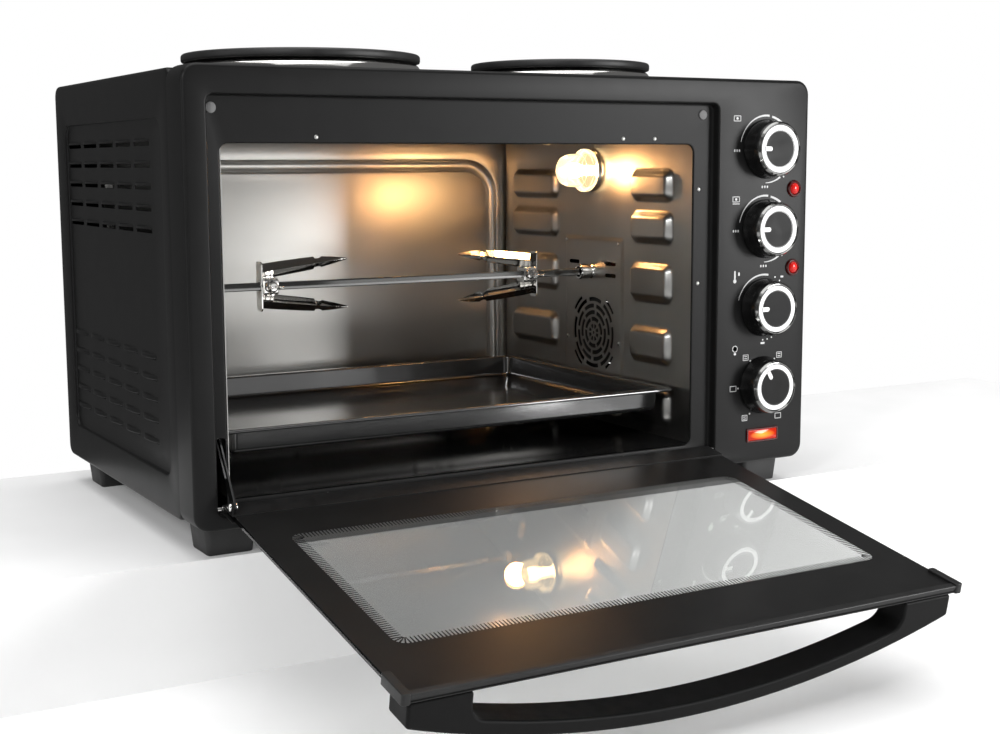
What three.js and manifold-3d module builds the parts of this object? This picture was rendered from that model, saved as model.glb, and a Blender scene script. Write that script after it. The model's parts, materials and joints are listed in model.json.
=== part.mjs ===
// Countertop rotisserie oven with two hotplates: a faceted assembly of separate pieces.
// Millimetres, +X to the right, +Y to the rear, +Z up. The pieces are laid out in the oven's own frame
// (x = 0 in the middle of the front frame, y = 0 on its face, z = 0 under the feet), and the last group
// moves that frame so that the origin is the centre of the front left foot's sole.
import * as THREE from 'three';
import { mergeVertices } from 'three/addons/utils/BufferGeometryUtils.js';
import Module from 'manifold-3d';

const wasm = await Module();
wasm.setup();

// ---- driving dimensions ------------------------------------------------------------------------
const GAP = 0.3;
const SHEET = 0.8;

const FRAME = { halfWidth: 280, bottom: 22.4, top: 351, depth: 32, wall: 1.4, corner: 12, round: 3 };
const RECESS = { left: -262.2, right: 182, bottom: 32.5, top: 330, floor: 8.3, corner: 5.4 };
const MOUTH = { left: -251, right: 162, bottom: 42.5, top: 296.5, corner: 7 };

const BODY = { halfWidth: 279, front: FRAME.depth + GAP, rear: 349, bottom: 24, top: 349.6, corner: 10 };
const PAN_DEPTH = 11;
const FIELD = { front: 54.5, rear: 322, bottom: 54, top: 315, depth: 3, corner: 12 };
const LOUVRE = { length: 38, height: 4, pitchY: 47.4, firstY: 109, columns: 5, rows: 5, pitchZ: 16.1 };
const LOUVRE_GROUPS = [234, 74.3];

const CAVITY = { left: -250, right: 165, front: 10.5, rear: 322, floor: 42, roof: 312, wall: 0.7 };
// The groove pressed into the cavity's back wall: its outer edges, width and depth.
const GROOVE = { left: -238, right: 153, bottom: 55, top: 285, width: 11, depth: 3, corner: 35 };
const BULGE = { depth: 6, taper: 5 };
const BULGE_COLUMNS = [[38, 100], [220, 304]];
const BULGE_ROWS = [[53, 85], [106, 139], [160, 195], [211, 240], [248, 276]];
const FAN = { y: 159, z: 125, slots: [[7, 11], [17, 21], [27, 31]], web: 3, impeller: 32, blades: 8 };
const LAMP = { y: 166, z: 275, ring: 22, glass: 18.5, reach: 35, skin: 1.2 };
const SPIT = { y: 163.5, z: 182, side: 6.4, left: -247, right: 157 };
const FORKS = { fork_left: [-157, 1], fork_right: [94, -1] };
// Prong stations: distance along the prong, offset from the spit's axis, half-width of the folded blade.
const PRONG = { hub: 7.5, yoke: 21, sheet: 1.4, stations: [[-7.5, 15, 5.6], [42, 19, 5], [72, 18, 1.2]] };
const SCREW = { radius: 2.6, stem: 5, head: 9, wing: 6.5 };
const ROD_RADIUS = 3.3;
const RODS = {
  heater_upper_front: [112, 305], heater_upper_rear: [238, 305],
  heater_lower_front: [118, 58], heater_lower_rear: [232, 58],
};
const TRAY = { left: -248.4, right: 160.8, front: 29, rear: 305, rim: 89, depth: 20, rimWidth: 8, sheet: 0.8 };

const KNOB = { x: 233, pitch: 67.6, lowest: 90, base: 25, face: 22, height: 19, hole: 6, hub: 4.8 };
const CONTROL = { radius: 17, tab: 26, front: 9, rear: 30 };
const LENS = { x: 264.3, radius: 6.8, heights: { indicator_lens_upper: 259, indicator_lens_lower: 191 } };
const POWER = { left: 216.4, right: 251.2, bottom: 40, top: 52.4 };

const PLATES = {
  left: { x: -119, radius: 98 },
  right: { x: 134, radius: 81 },
};
const PLATE_Y = 172;
const PLATE = { top: 370.5, thick: 7.5, trimTop: 359.5, seat: 12, pillar: 14 };

const FOOT = { outer: 264.7, front: 18.4, rear: 295, sole: 35, head: 40, height: 21.8, neck: 12 };

const HINGE = { y: 3, z: 37.9, tilt: 0.1815, pin: 1.6 };
const DOOR = { left: -258, right: 178, length: 290.5, inner: 2.4, outer: -3.4, glass: 4, rail: 9, heel: -1.5 };
const CAP = { length: 28, width: 5.5, proud: 0.8, height: 1.3 };
const HANDLE = { centre: -42, halfWidth: 212, post: 43, endDepth: 20, bow: 34.5, bar: 10, back: 265.5 };
const LINK = { x: -255.8, thick: 1.5, s: 14, n: 6.7, rise: 0.951, length: 62, halfWidth: 3.8 };
const SLOT = { left: -259.6, right: -252.3, bottom: 36, top: 88 };
const BUMPER = { z: 321, radius: 4, height: 1 };
const BACK_VENTS = { firstX: -200, pitchX: 60, columns: 6, firstZ: 250, pitchZ: 16, rows: 4, half: 20, slit: 4 };
const BASE_VENTS = { firstX: -180, pitchX: 60, columns: 7, rows: [150, 200], half: 20, slit: 5 };
const GLAND = { x: 225, z: 60, hole: 7, shank: 6.6, flange: 10, nose: 5.5, bore: 3.5, reach: 14 };
const MOTOR = { width: 48, below: 16, above: 28, depth: 27, wall: 1 };

const ORIGIN = { x: -(FOOT.outer - FOOT.sole / 2), y: FOOT.front + FOOT.sole / 2, z: 0 };

// ---- solids ------------------------------------------------------------------------------------
function solid(geometry) {
  const bare = geometry.index ? geometry.toNonIndexed() : geometry.clone();
  for (const name of Object.keys(bare.attributes)) {
    if (name !== 'position') bare.deleteAttribute(name);
  }
  const merged = mergeVertices(bare, 1e-4);
  const points = merged.attributes.position.array;
  const corners = merged.index.array;
  const kept = [];
  let volume = 0;
  for (let i = 0; i < corners.length; i += 3) {
    const [a, b, c] = [corners[i], corners[i + 1], corners[i + 2]];
    if (a === b || b === c || c === a) continue;
    kept.push(a, b, c);
    const [p, q, r] = [a, b, c].map((k) => new THREE.Vector3().fromArray(points, 3 * k));
    volume += p.dot(q.cross(r));
  }
  if (volume < 0) {
    for (let i = 0; i < kept.length; i += 3) {
      [kept[i + 1], kept[i + 2]] = [kept[i + 2], kept[i + 1]];
    }
  }
  const vertProperties = new Float32Array(points);
  const triVerts = new Uint32Array(kept);
  return new wasm.Manifold(new wasm.Mesh({ numProp: 3, vertProperties, triVerts }));
}

function basis(geometry, x, y, z) {
  const [ex, ey, ez] = [x, y, z].map((v) => new THREE.Vector3(...v));
  return geometry.applyMatrix4(new THREE.Matrix4().makeBasis(ex, ey, ez));
}

function box(x0, x1, y0, y1, z0, z1) {
  const geometry = new THREE.BoxGeometry(x1 - x0, y1 - y0, z1 - z0);
  return solid(geometry.translate((x0 + x1) / 2, (y0 + y1) / 2, (z0 + z1) / 2));
}

function join(first, ...others) {
  return others.reduce((whole, piece) => whole.add(piece), first);
}

function cut(first, ...others) {
  return others.reduce((whole, piece) => whole.subtract(piece), first);
}

// A rectangle with round corners, between two pairs of coordinates.
function roundedRect(a0, a1, b0, b1, r) {
  const shape = new THREE.Shape();
  shape.moveTo(a0 + r, b0);
  shape.lineTo(a1 - r, b0);
  shape.absarc(a1 - r, b0 + r, r, -Math.PI / 2, 0);
  shape.lineTo(a1, b1 - r);
  shape.absarc(a1 - r, b1 - r, r, 0, Math.PI / 2);
  shape.lineTo(a0 + r, b1);
  shape.absarc(a0 + r, b1 - r, r, Math.PI / 2, Math.PI);
  shape.lineTo(a0, b0 + r);
  shape.absarc(a0 + r, b0 + r, r, Math.PI, 1.5 * Math.PI);
  return shape;
}

function extrude(shape, depth, bevel = 0, curveSegments = 4) {
  const options = { depth: depth - 2 * bevel, curveSegments, bevelEnabled: bevel > 0 };
  if (bevel > 0) {
    Object.assign(options, { bevelThickness: bevel, bevelSize: bevel, bevelOffset: -bevel, bevelSegments: 2 });
  }
  return new THREE.ExtrudeGeometry(shape, options).translate(0, 0, bevel);
}

// A shape drawn in (x, z), made solid from y0 to y1.
function alongY(shape, y0, y1, bevel = 0, curveSegments = 4) {
  const geometry = basis(extrude(shape, y1 - y0, bevel, curveSegments), [1, 0, 0], [0, 0, 1], [0, -1, 0]);
  return solid(geometry.translate(0, y1, 0));
}

// A shape drawn in (y, z), made solid from x0 to x1.
function alongX(shape, x0, x1, bevel = 0, curveSegments = 4) {
  const geometry = basis(extrude(shape, x1 - x0, bevel, curveSegments), [0, 1, 0], [0, 0, 1], [1, 0, 0]);
  return solid(geometry.translate(x0, 0, 0));
}

function polygon(points) {
  return new THREE.Shape(points.map((p) => new THREE.Vector2(...p)));
}

// A profile of [radius, height] points turned about an axis through (0, 0, 0).
function turned(profile, axis, segments = 24) {
  const geometry = new THREE.LatheGeometry(profile.map((p) => new THREE.Vector2(...p)), segments);
  if (axis === 'x') return solid(basis(geometry, [0, 1, 0], [1, 0, 0], [0, 0, -1]));
  if (axis === 'z') return solid(basis(geometry, [1, 0, 0], [0, 0, 1], [0, -1, 0]));
  return solid(geometry);
}

function rod(radius, from, to, axis, segments = 16) {
  return turned([[0, from], [radius, from], [radius, to], [0, to]], axis, segments);
}

function ring(inner, outer, from, to, axis, segments = 24) {
  return turned([[inner, from], [outer, from], [outer, to], [inner, to], [inner, from]], axis, segments);
}

// A box whose side walls taper from its foot, on x = x0, to its smaller crown on x = x1.
function frustumX(x0, x1, foot, taper) {
  const [y0, y1, z0, z1] = foot;
  const geometry = new THREE.BoxGeometry(1, 1, 1);
  const p = geometry.attributes.position;
  for (let i = 0; i < p.count; i += 1) {
    const crown = p.getX(i) > 0;
    const inset = crown ? taper : 0;
    const y = p.getY(i) > 0 ? y1 - inset : y0 + inset;
    const z = p.getZ(i) > 0 ? z1 - inset : z0 + inset;
    p.setXYZ(i, crown ? x1 : x0, y, z);
  }
  return solid(geometry);
}

// ---- scene graph -------------------------------------------------------------------------------
const oven = new THREE.Group();
oven.position.set(-ORIGIN.x, -ORIGIN.y, -ORIGIN.z);

const door = new THREE.Group();
door.position.set(0, HINGE.y, HINGE.z);
door.rotation.x = HINGE.tilt;
oven.add(door);

const FINISH = {
  blackSteel: new THREE.MeshStandardMaterial({ color: 0x1d1d1e, roughness: 0.45, metalness: 0.2 }),
  blackPlastic: new THREE.MeshStandardMaterial({ color: 0x151515, roughness: 0.55 }),
  brightSteel: new THREE.MeshStandardMaterial({ color: 0xb9b9b6, roughness: 0.3, metalness: 1 }),
  chrome: new THREE.MeshStandardMaterial({ color: 0xd8d8d8, roughness: 0.1, metalness: 1 }),
  castIron: new THREE.MeshStandardMaterial({ color: 0x202020, roughness: 0.65, metalness: 0.3 }),
  enamel: new THREE.MeshStandardMaterial({ color: 0x0e0e0f, roughness: 0.15 }),
  glass: new THREE.MeshStandardMaterial({ color: 0x303234, roughness: 0.05, transparent: true, opacity: 0.35 }),
  lampGlass: new THREE.MeshStandardMaterial({ color: 0xffedc8, roughness: 0.1, transparent: true, opacity: 0.4 }),
  redLens: new THREE.MeshStandardMaterial({ color: 0xc61a12, roughness: 0.15 }),
  amberLens: new THREE.MeshStandardMaterial({ color: 0xff5a10, roughness: 0.15 }),
  rubber: new THREE.MeshStandardMaterial({ color: 0x6b6b6b, roughness: 0.85 }),
  ceramic: new THREE.MeshStandardMaterial({ color: 0xd9d4c8, roughness: 0.7 }),
};

function add(name, manifold, finish, group = oven) {
  const mesh = manifold.getMesh();
  const geometry = new THREE.BufferGeometry();
  geometry.setAttribute('position', new THREE.BufferAttribute(new Float32Array(mesh.vertProperties), 3));
  geometry.setIndex(new THREE.BufferAttribute(new Uint32Array(mesh.triVerts), 1));
  geometry.computeVertexNormals();
  const piece = new THREE.Mesh(geometry, FINISH[finish]);
  piece.name = name;
  group.add(piece);
  return piece;
}

// ---- casing ------------------------------------------------------------------------------------
function frontFrame() {
  const { halfWidth: w, bottom, top, depth, wall, corner, round } = FRAME;
  const bevelled = alongY(roundedRect(-w, w, bottom, top, corner), 0, depth + 2 * round, round);
  const block = cut(bevelled, box(-w - 1, w + 1, depth, depth + 3 * round, bottom - 1, top + 1));
  const inside = alongY(
    roundedRect(-w + wall, w - wall, bottom + wall, top - wall, corner - wall), wall, depth + 1);
  const shell = cut(block, inside);
  const { left, right, bottom: low, top: high, floor, corner: r } = RECESS;
  const pocket = alongY(
    roundedRect(left - wall, right + wall, low - wall, high + wall, r + wall), 1, floor + wall);
  const hollow = alongY(roundedRect(left, right, low, high, r), -1, floor);
  const mouth = alongY(
    roundedRect(MOUTH.left, MOUTH.right, MOUTH.bottom, MOUTH.top, MOUTH.corner), -1, floor + wall + 1);
  let piece = cut(join(shell, pocket), hollow, mouth);
  piece = cut(piece, box(SLOT.left, SLOT.right, floor - 1, floor + wall + 1, SLOT.bottom, SLOT.top));
  for (let i = 0; i < 4; i += 1) {
    piece = cut(piece, rod(KNOB.hole, -1, wall + 1, 'y').translate([KNOB.x, 0, KNOB.lowest + i * KNOB.pitch]));
  }
  for (const z of Object.values(LENS.heights)) {
    piece = cut(piece, rod(LENS.radius, -1, wall + 1, 'y').translate([LENS.x, 0, z]));
  }
  piece = cut(piece, box(POWER.left, POWER.right, -1, wall + 1, POWER.bottom, POWER.top));
  const bearing = rod(HINGE.pin + GAP, left - wall - 1, right + wall + 1, 'x', 16);
  piece = cut(piece, bearing.translate([0, HINGE.y, HINGE.z]));
  add('front_frame', piece, 'blackSteel');
}

// A pressed side pan with a shallow sunk field and two groups of ventilation slots.
function sidePanel(name, side) {
  const { halfWidth: w, front, rear, bottom, top, corner } = BODY;
  const outer = w - 0.5;
  const block = alongX(roundedRect(front, rear, bottom, top, corner), outer - PAN_DEPTH, outer);
  const inside = alongX(
    roundedRect(front + SHEET, rear - SHEET, bottom + SHEET, top - SHEET, corner - SHEET),
    outer - PAN_DEPTH - 1, outer - SHEET);
  const { depth, corner: r } = FIELD;
  const back = alongX(
    roundedRect(FIELD.front - SHEET, FIELD.rear + SHEET, FIELD.bottom - SHEET, FIELD.top + SHEET, r + SHEET),
    outer - depth - SHEET, outer - SHEET / 2);
  const sunk = alongX(
    roundedRect(FIELD.front, FIELD.rear, FIELD.bottom, FIELD.top, r), outer - depth, outer + 1);
  let piece = cut(join(cut(block, inside), back), sunk);
  for (const lowest of LOUVRE_GROUPS) {
    for (let row = 0; row < LOUVRE.rows; row += 1) {
      for (let column = 0; column < LOUVRE.columns; column += 1) {
        const y = LOUVRE.firstY + column * LOUVRE.pitchY;
        const z = lowest + row * LOUVRE.pitchZ;
        piece = cut(piece, box(
          outer - depth - SHEET - 1, outer,
          y - LOUVRE.length / 2, y + LOUVRE.length / 2,
          z - LOUVRE.height / 2, z + LOUVRE.height / 2));
      }
    }
  }
  add(name, side > 0 ? piece : piece.mirror([1, 0, 0]), 'blackSteel');
}

function topCover() {
  const w = BODY.halfWidth - PAN_DEPTH - 0.5 - GAP;
  const { front, rear, top } = BODY;
  let piece = box(-w, w, front, rear - SHEET - GAP, top - 12, top);
  piece = cut(piece, box(
    -w + SHEET, w - SHEET, front + SHEET, rear - 2 * SHEET - GAP, top - 13, top - SHEET));
  for (const plate of Object.values(PLATES)) {
    piece = cut(piece, rod(PLATE.seat + GAP, top - 14, top + 1, 'z').translate([plate.x, PLATE_Y, 0]));
  }
  add('top_cover', piece, 'blackSteel');
}

function backPanel() {
  const w = BODY.halfWidth - PAN_DEPTH - 0.5 - GAP;
  const { rear, bottom, top } = BODY;
  let piece = box(-w, w, rear - SHEET, rear, bottom, top);
  const { half, slit } = BACK_VENTS;
  for (let row = 0; row < BACK_VENTS.rows; row += 1) {
    for (let column = 0; column < BACK_VENTS.columns; column += 1) {
      const x = BACK_VENTS.firstX + column * BACK_VENTS.pitchX;
      const z = BACK_VENTS.firstZ + row * BACK_VENTS.pitchZ;
      piece = cut(piece, box(x - half, x + half, rear - SHEET - 1, rear + 1, z - slit / 2, z + slit / 2));
    }
  }
  piece = cut(piece, rod(GLAND.hole, rear - SHEET - 1, rear + 1, 'y').translate([GLAND.x, 0, GLAND.z]));
  add('back_panel', piece, 'blackSteel');
}

function basePlate() {
  const w = BODY.halfWidth - PAN_DEPTH - 0.5 - GAP;
  const { front, rear, bottom } = BODY;
  let piece = box(-w, w, front, rear - SHEET - GAP, bottom, bottom + SHEET);
  const { half, slit } = BASE_VENTS;
  for (let column = 0; column < BASE_VENTS.columns; column += 1) {
    const x = BASE_VENTS.firstX + column * BASE_VENTS.pitchX;
    for (const y of BASE_VENTS.rows) {
      piece = cut(piece, box(x - half, x + half, y, y + slit, bottom - 1, bottom + 2));
    }
  }
  add('base_plate', piece, 'blackSteel');
}

// Tapered feet, wider at the top, with a flat sole.
function foot(name, side, y0) {
  const { outer, sole, head, height, neck: width } = FOOT;
  const spread = (head - sole) / 2;
  const geometry = new THREE.BoxGeometry(1, 1, 1);
  const p = geometry.attributes.position;
  for (let i = 0; i < p.count; i += 1) {
    const up = p.getZ(i) > 0;
    const s = up ? spread : 0;
    const x = p.getX(i) > 0 ? -outer + sole + s : -outer - s;
    const y = p.getY(i) > 0 ? y0 + sole + s : y0 - s;
    p.setXYZ(i, x, y, up ? height : 0);
  }
  const block = solid(geometry);
  const start = (sole - width) / 2;
  const neck = box(-outer + start, -outer + start + width, y0 + start + 4, y0 + start + 4 + width,
    height - 1, BODY.bottom - GAP);
  const piece = join(block, neck);
  add(name, side < 0 ? piece : piece.mirror([1, 0, 0]), 'rubber');
}

// ---- oven cavity -------------------------------------------------------------------------------
// One side wall of the cavity, drawn as the right one. Its pressed bulges carry the tray and the rack.
function cavitySide(openings) {
  const { front, rear, floor, roof, wall } = CAVITY;
  const x = CAVITY.right;
  const sheet = box(x, x + wall, front, rear - GAP, floor + wall + GAP, roof - GAP);
  let piece = sheet;
  for (const [y0, y1] of BULGE_COLUMNS) {
    for (const [z0, z1] of BULGE_ROWS) {
      const { depth, taper } = BULGE;
      const outside = frustumX(x + wall / 2, x - depth, [y0, y1, z0, z1], taper);
      const inside = frustumX(
        x + wall + 0.5, x - depth + wall, [y0 + wall, y1 - wall, z0 + wall, z1 - wall], taper);
      piece = cut(join(piece, outside), inside);
    }
  }
  for (const opening of openings) piece = cut(piece, opening);
  return piece;
}

function rodHoles(x0, x1) {
  return Object.values(RODS).map(([y, z]) => rod(ROD_RADIUS + GAP, x0, x1, 'x', 16).translate([0, y, z]));
}

// Concentric arc slots of the fan grille, with four webs between them.
function fanGrille(x0, x1) {
  const half = FAN.web / 2;
  const reach = FAN.impeller;
  const webs = join(
    box(x0 - 1, x1 + 1, -half, half, -reach, reach),
    box(x0 - 1, x1 + 1, -reach, reach, -half, half),
  );
  return FAN.slots.map(([inner, outer]) => (
    cut(ring(inner, outer, x0, x1, 'x', 20), webs).translate([0, FAN.y, FAN.z])
  ));
}

// A ring along the groove, from inset to width inside the groove's outer edges.
function grooveRing(inset, width, y0, y1) {
  const { left, right, bottom, top, corner } = GROOVE;
  const [outer, inner] = [inset, width].map((d) => (
    roundedRect(left + d, right - d, bottom + d, top - d, corner - d)
  ));
  return cut(alongY(outer, y0, y1), alongY(inner, y0 - 1, y1 + 1));
}

function cavity() {
  const { left, right, front, rear, floor, roof, wall } = CAVITY;
  const x0 = right - BULGE.depth - 1;
  const x1 = right + wall + 1;
  const rightWall = cavitySide([
    ...rodHoles(x0, x1),
    ...fanGrille(x0, x1),
    rod(5, x0, x1, 'x', 16).translate([0, SPIT.y, SPIT.z]),
    rod(LAMP.glass - 2, x0, x1, 'x', 24).translate([0, LAMP.y, LAMP.z]),
  ]);
  add('cavity_right_wall', rightWall, 'brightSteel');
  const leftWall = cavitySide(rodHoles(x0, x1)).mirror([1, 0, 0]).translate([left + right, 0, 0]);
  add('cavity_left_wall', leftWall, 'brightSteel');
  const back = box(left - wall, right + wall, rear, rear + wall, floor, roof + wall);
  const { width, depth } = GROOVE;
  const channel = grooveRing(0, width, rear - 1, rear + depth);
  const skin = grooveRing(-wall, width + wall, rear + wall / 2, rear + depth + wall);
  add('cavity_back_wall', cut(join(back, skin), channel), 'brightSteel');
  add('cavity_roof', box(left, right, front, rear - GAP, roof, roof + wall), 'brightSteel');
  add('cavity_floor', box(left, right, front, rear - GAP, floor, floor + wall), 'enamel');
  for (const [name, [y, z]] of Object.entries(RODS)) {
    const heater = rod(ROD_RADIUS, left - 13, right + 13, 'x', 16).translate([0, y, z]);
    add(name, heater, 'brightSteel');
  }
}

function lamp() {
  const x = CAVITY.right;
  const { ring: r, glass, reach, skin } = LAMP;
  const at = [x, LAMP.y, LAMP.z];
  const holder = turned([
    [glass - 3, -5], [glass + 1, -5], [r - 2, -GAP], [glass - 3, -GAP], [glass - 3, -5],
  ], 'x', 16);
  add('lamp_holder', holder.translate(at), 'brightSteel');
  const outside = [
    [glass - 2, -5 - GAP], [glass - 2.5, -11], [glass - 5, -18], [glass - 6, -25], [glass - 9, -reach + 3],
  ];
  const inside = outside.map(([radius, height]) => [radius - skin, height]).reverse();
  const dome = turned([...outside, [0, -reach], [0, -reach + skin], ...inside, outside[0]], 'x', 16);
  add('lamp_glass', dome.translate(at), 'lampGlass');
  const bulb = turned([[0, -28], [5, -26], [7.5, -21], [7.5, -15], [5, -9], [5, 14], [0, 14]], 'x', 16);
  add('lamp_bulb', bulb.translate(at), 'lampGlass');
}

// ---- drives behind the right wall --------------------------------------------------------------
function drives() {
  const x = CAVITY.right + CAVITY.wall;
  const { width, below, above, depth, wall } = MOTOR;
  const [y0, y1] = [SPIT.y - width / 2, SPIT.y + width / 2];
  const [z0, z1] = [SPIT.z - below, SPIT.z + above];
  const motor = cut(
    box(x + 3, x + 3 + depth, y0, y1, z0, z1),
    box(x + 3 + wall, x + 4 + depth, y0 + wall, y1 - wall, z0 + wall, z1 - wall),
  );
  const coil = rod(MOTOR.above / 2, x + 3, x + depth, 'x', 20).translate([0, SPIT.y, (z0 + z1) / 2]);
  add('rotisserie_motor', join(motor, coil), 'brightSteel');
  const impeller = join(
    rod(5, x + 2, x + 14, 'x', 16),
    rod(FAN.impeller, x + 2, x + 3, 'x', 24),
    ...Array.from({ length: FAN.blades }, (_, i) => (
      box(x + 2.5, x + 10, 10, FAN.impeller - 1, -0.5, 0.5).rotate([(i * 360) / FAN.blades, 0, 0])
    )),
  );
  add('fan_impeller', impeller.translate([0, FAN.y, FAN.z]), 'brightSteel');
  const fanMotor = join(
    rod(17, x + 16, x + 38, 'x', 20),
    box(x + 18, x + 20, -30, 30, -8, 8),
  );
  add('fan_motor', fanMotor.translate([0, FAN.y, FAN.z - 5]), 'brightSteel');
}

// ---- spit and forks ----------------------------------------------------------------------------
function spit() {
  const { y, z, side, left, right } = SPIT;
  const h = side / 2;
  const point = 14;
  const shaft = join(
    box(left + point, right, -h, h, -h, h),
    turned([[0, left], [2.2, left], [2.2, left + point + 2], [0, left + point + 2]], 'x', 12),
  );
  add('spit_rod', shaft.translate([0, y, z]), 'chrome');
  const socket = cut(
    rod(7, right - 8, CAVITY.right - GAP, 'x', 20),
    box(right - 9, right + GAP, -h - GAP, h + GAP, -h - GAP, h + GAP),
  );
  const spindle = rod(3.5, CAVITY.right - 1, CAVITY.right + CAVITY.wall + 2.7, 'x', 16);
  add('spit_socket', join(socket, spindle).translate([0, y, z]), 'chrome');
  const rest = cut(
    box(CAVITY.left + GAP, CAVITY.left + 9, y - 11, y + 11, z - 16, z + 4),
    box(CAVITY.left + 2, CAVITY.left + 10, y - 9, y + 9, z - 18, z + 5),
  );
  const arm = cut(
    box(CAVITY.left + 5, CAVITY.left + 6.5, y - 9.5, y + 9.5, z - 14, z + 4),
    box(CAVITY.left, CAVITY.left + 9, y - 2.6, y + 2.6, z, z + 5),
    rod(2.6, CAVITY.left, CAVITY.left + 9, 'x', 16).translate([0, y, z]),
  );
  add('spit_support', join(rest, arm), 'chrome');
}

// A solid through equal sections, each a list of [x, y, z] corners in the same order.
function loft(sections) {
  const count = sections[0].length;
  const points = sections.flat(2);
  const index = [];
  for (let i = 0; i + 1 < sections.length; i += 1) {
    for (let k = 0; k < count; k += 1) {
      const [a, b] = [i * count + k, i * count + ((k + 1) % count)];
      index.push(a, b, b + count, a, b + count, a + count);
    }
  }
  const last = (sections.length - 1) * count;
  const caps = THREE.ShapeUtils.triangulateShape(sections[0].map(([, y, z]) => new THREE.Vector2(y, z)), []);
  const area = THREE.ShapeUtils.area(sections[0].map(([, y, z]) => new THREE.Vector2(y, z)));
  for (const [a, b, c] of caps) {
    if (area > 0) index.push(a, c, b, last + a, last + b, last + c);
    else index.push(a, b, c, last + a, last + c, last + b);
  }
  const geometry = new THREE.BufferGeometry();
  geometry.setAttribute('position', new THREE.BufferAttribute(new Float32Array(points), 3));
  geometry.setIndex(index);
  return solid(geometry);
}

// A prong folded to an angle section, its fold to the front, that splays out and narrows to a point.
function prong(sign) {
  const { sheet, stations } = PRONG;
  return loft(stations.map(([x, offset, wing]) => {
    const z = sign * offset;
    return [
      [x, -wing * 0.6, z], [x, wing * 0.4, z + wing], [x, wing * 0.4, z + wing - 1.4 * sheet],
      [x, -wing * 0.6 + 1.6 * sheet, z], [x, wing * 0.4, z - wing + 1.4 * sheet], [x, wing * 0.4, z - wing],
    ];
  }));
}

// The fork's prongs point along direction; its thumbscrew grips the spit from the front.
function fork(name, x, direction) {
  const { y, z, side } = SPIT;
  const h = side / 2 + GAP;
  const { hub, yoke, sheet } = PRONG;
  const blank = join(
    box(-hub, hub, -hub, hub, -hub, hub),
    box(-hub, -hub + sheet, -hub, hub, -yoke, yoke),
    prong(1),
    prong(-1),
  );
  const piece = cut(
    blank,
    box(-hub - 1, hub + 1, -h, h, -h, h),
    rod(SCREW.radius + GAP, -hub - 1, 0, 'y', 12),
  );
  const placed = direction > 0 ? piece : piece.mirror([1, 0, 0]);
  add(name, placed.translate([x, y, z]), 'chrome');
  const screw = join(
    rod(SCREW.radius, -hub - SCREW.stem, -h - GAP, 'y', 12),
    box(-SCREW.wing, SCREW.wing, -hub - SCREW.stem - SCREW.head, -hub - SCREW.stem + 0.5, -1.2, 1.2),
  );
  add(`${name}_screw`, screw.translate([x, y, z]), 'chrome');
}

// ---- baking tray -------------------------------------------------------------------------------
function bakingTray() {
  const { left, right, front, rear, rim, depth, rimWidth, sheet } = TRAY;
  const flange = alongX(roundedRect(front, rear, rim - 3, rim, 1.4), left, right);
  const w = rimWidth;
  const pan = box(left + w, right - w, front + w, rear - w, rim - depth, rim);
  const hollow = box(left + w + sheet, right - w - sheet, front + w + sheet, rear - w - sheet,
    rim - depth + sheet, rim + 1);
  const under = cut(
    box(left + 1.2, right - 1.2, front + 1.2, rear - 1.2, rim - 4, rim - sheet),
    box(left + w, right - w, front + w, rear - w, rim - 5, rim),
  );
  add('baking_tray', cut(join(flange, pan), hollow, under), 'enamel');
}

// ---- controls ----------------------------------------------------------------------------------
function controls() {
  const wall = FRAME.wall;
  for (let i = 0; i < 4; i += 1) {
    const z = KNOB.lowest + i * KNOB.pitch;
    const { base, face, height, hub } = KNOB;
    const knob = turned([
      [0, -height], [face - 2, -height], [face, -height + 1.6], [base - 1, -3], [base, -1], [hub, -1],
      [hub, 8], [0, 8],
    ], 'y', 24);
    add(`knob_${4 - i}`, knob.translate([KNOB.x, 0, z]), 'blackPlastic');
    const body = join(
      rod(CONTROL.radius, CONTROL.front, CONTROL.rear, 'y', 20),
      box(-CONTROL.tab, CONTROL.tab, CONTROL.front, CONTROL.front + SHEET, -8, 8),
    );
    add(`control_unit_${4 - i}`, body.translate([KNOB.x, 0, z]), 'ceramic');
  }
  for (const [name, z] of Object.entries(LENS.heights)) {
    const r = LENS.radius - GAP;
    const lens = turned([[0, -3.4], [r * 0.55, -2.8], [r, -0.6], [r, 8], [0, 8]], 'y', 20);
    add(name, lens.translate([LENS.x, 0, z]), 'redLens');
  }
  const lens = box(POWER.left + GAP, POWER.right - GAP, -1.6, wall + 8, POWER.bottom + GAP, POWER.top - GAP);
  add('power_lens', lens, 'amberLens');
}

// ---- hotplates ---------------------------------------------------------------------------------
function hotplates() {
  const base = BODY.top + GAP;
  for (const [side, plate] of Object.entries(PLATES)) {
    const r = plate.radius;
    const at = [plate.x, PLATE_Y, 0];
    const top = PLATE.top;
    const low = top - PLATE.thick;
    const disc = turned([
      [0, low - 2.6], [20, low - 2.6], [20, low], [r - 1.5, low], [r, low + 1.5], [r, top - 2], [r - 2, top],
      [26, top], [22, top - 1.6], [0, top - 1.6],
    ], 'z', 40);
    add(`hotplate_${side}`, disc.translate(at), 'castIron');
    const trimTop = PLATE.trimTop;
    const trim = turned([
      [0, base], [r + 3, base], [r + 1, base + 4], [r - 4, trimTop], [r - 6, trimTop],
      [r - 8, base + 1], [PLATE.pillar, base + 1], [PLATE.pillar, trimTop + 0.1], [0, trimTop + 0.1],
    ], 'z', 40);
    const stud = rod(PLATE.seat, base - 8, base + 1, 'z', 16);
    add(`hotplate_trim_${side}`, join(trim, stud).translate(at), 'brightSteel');
  }
}

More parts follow.
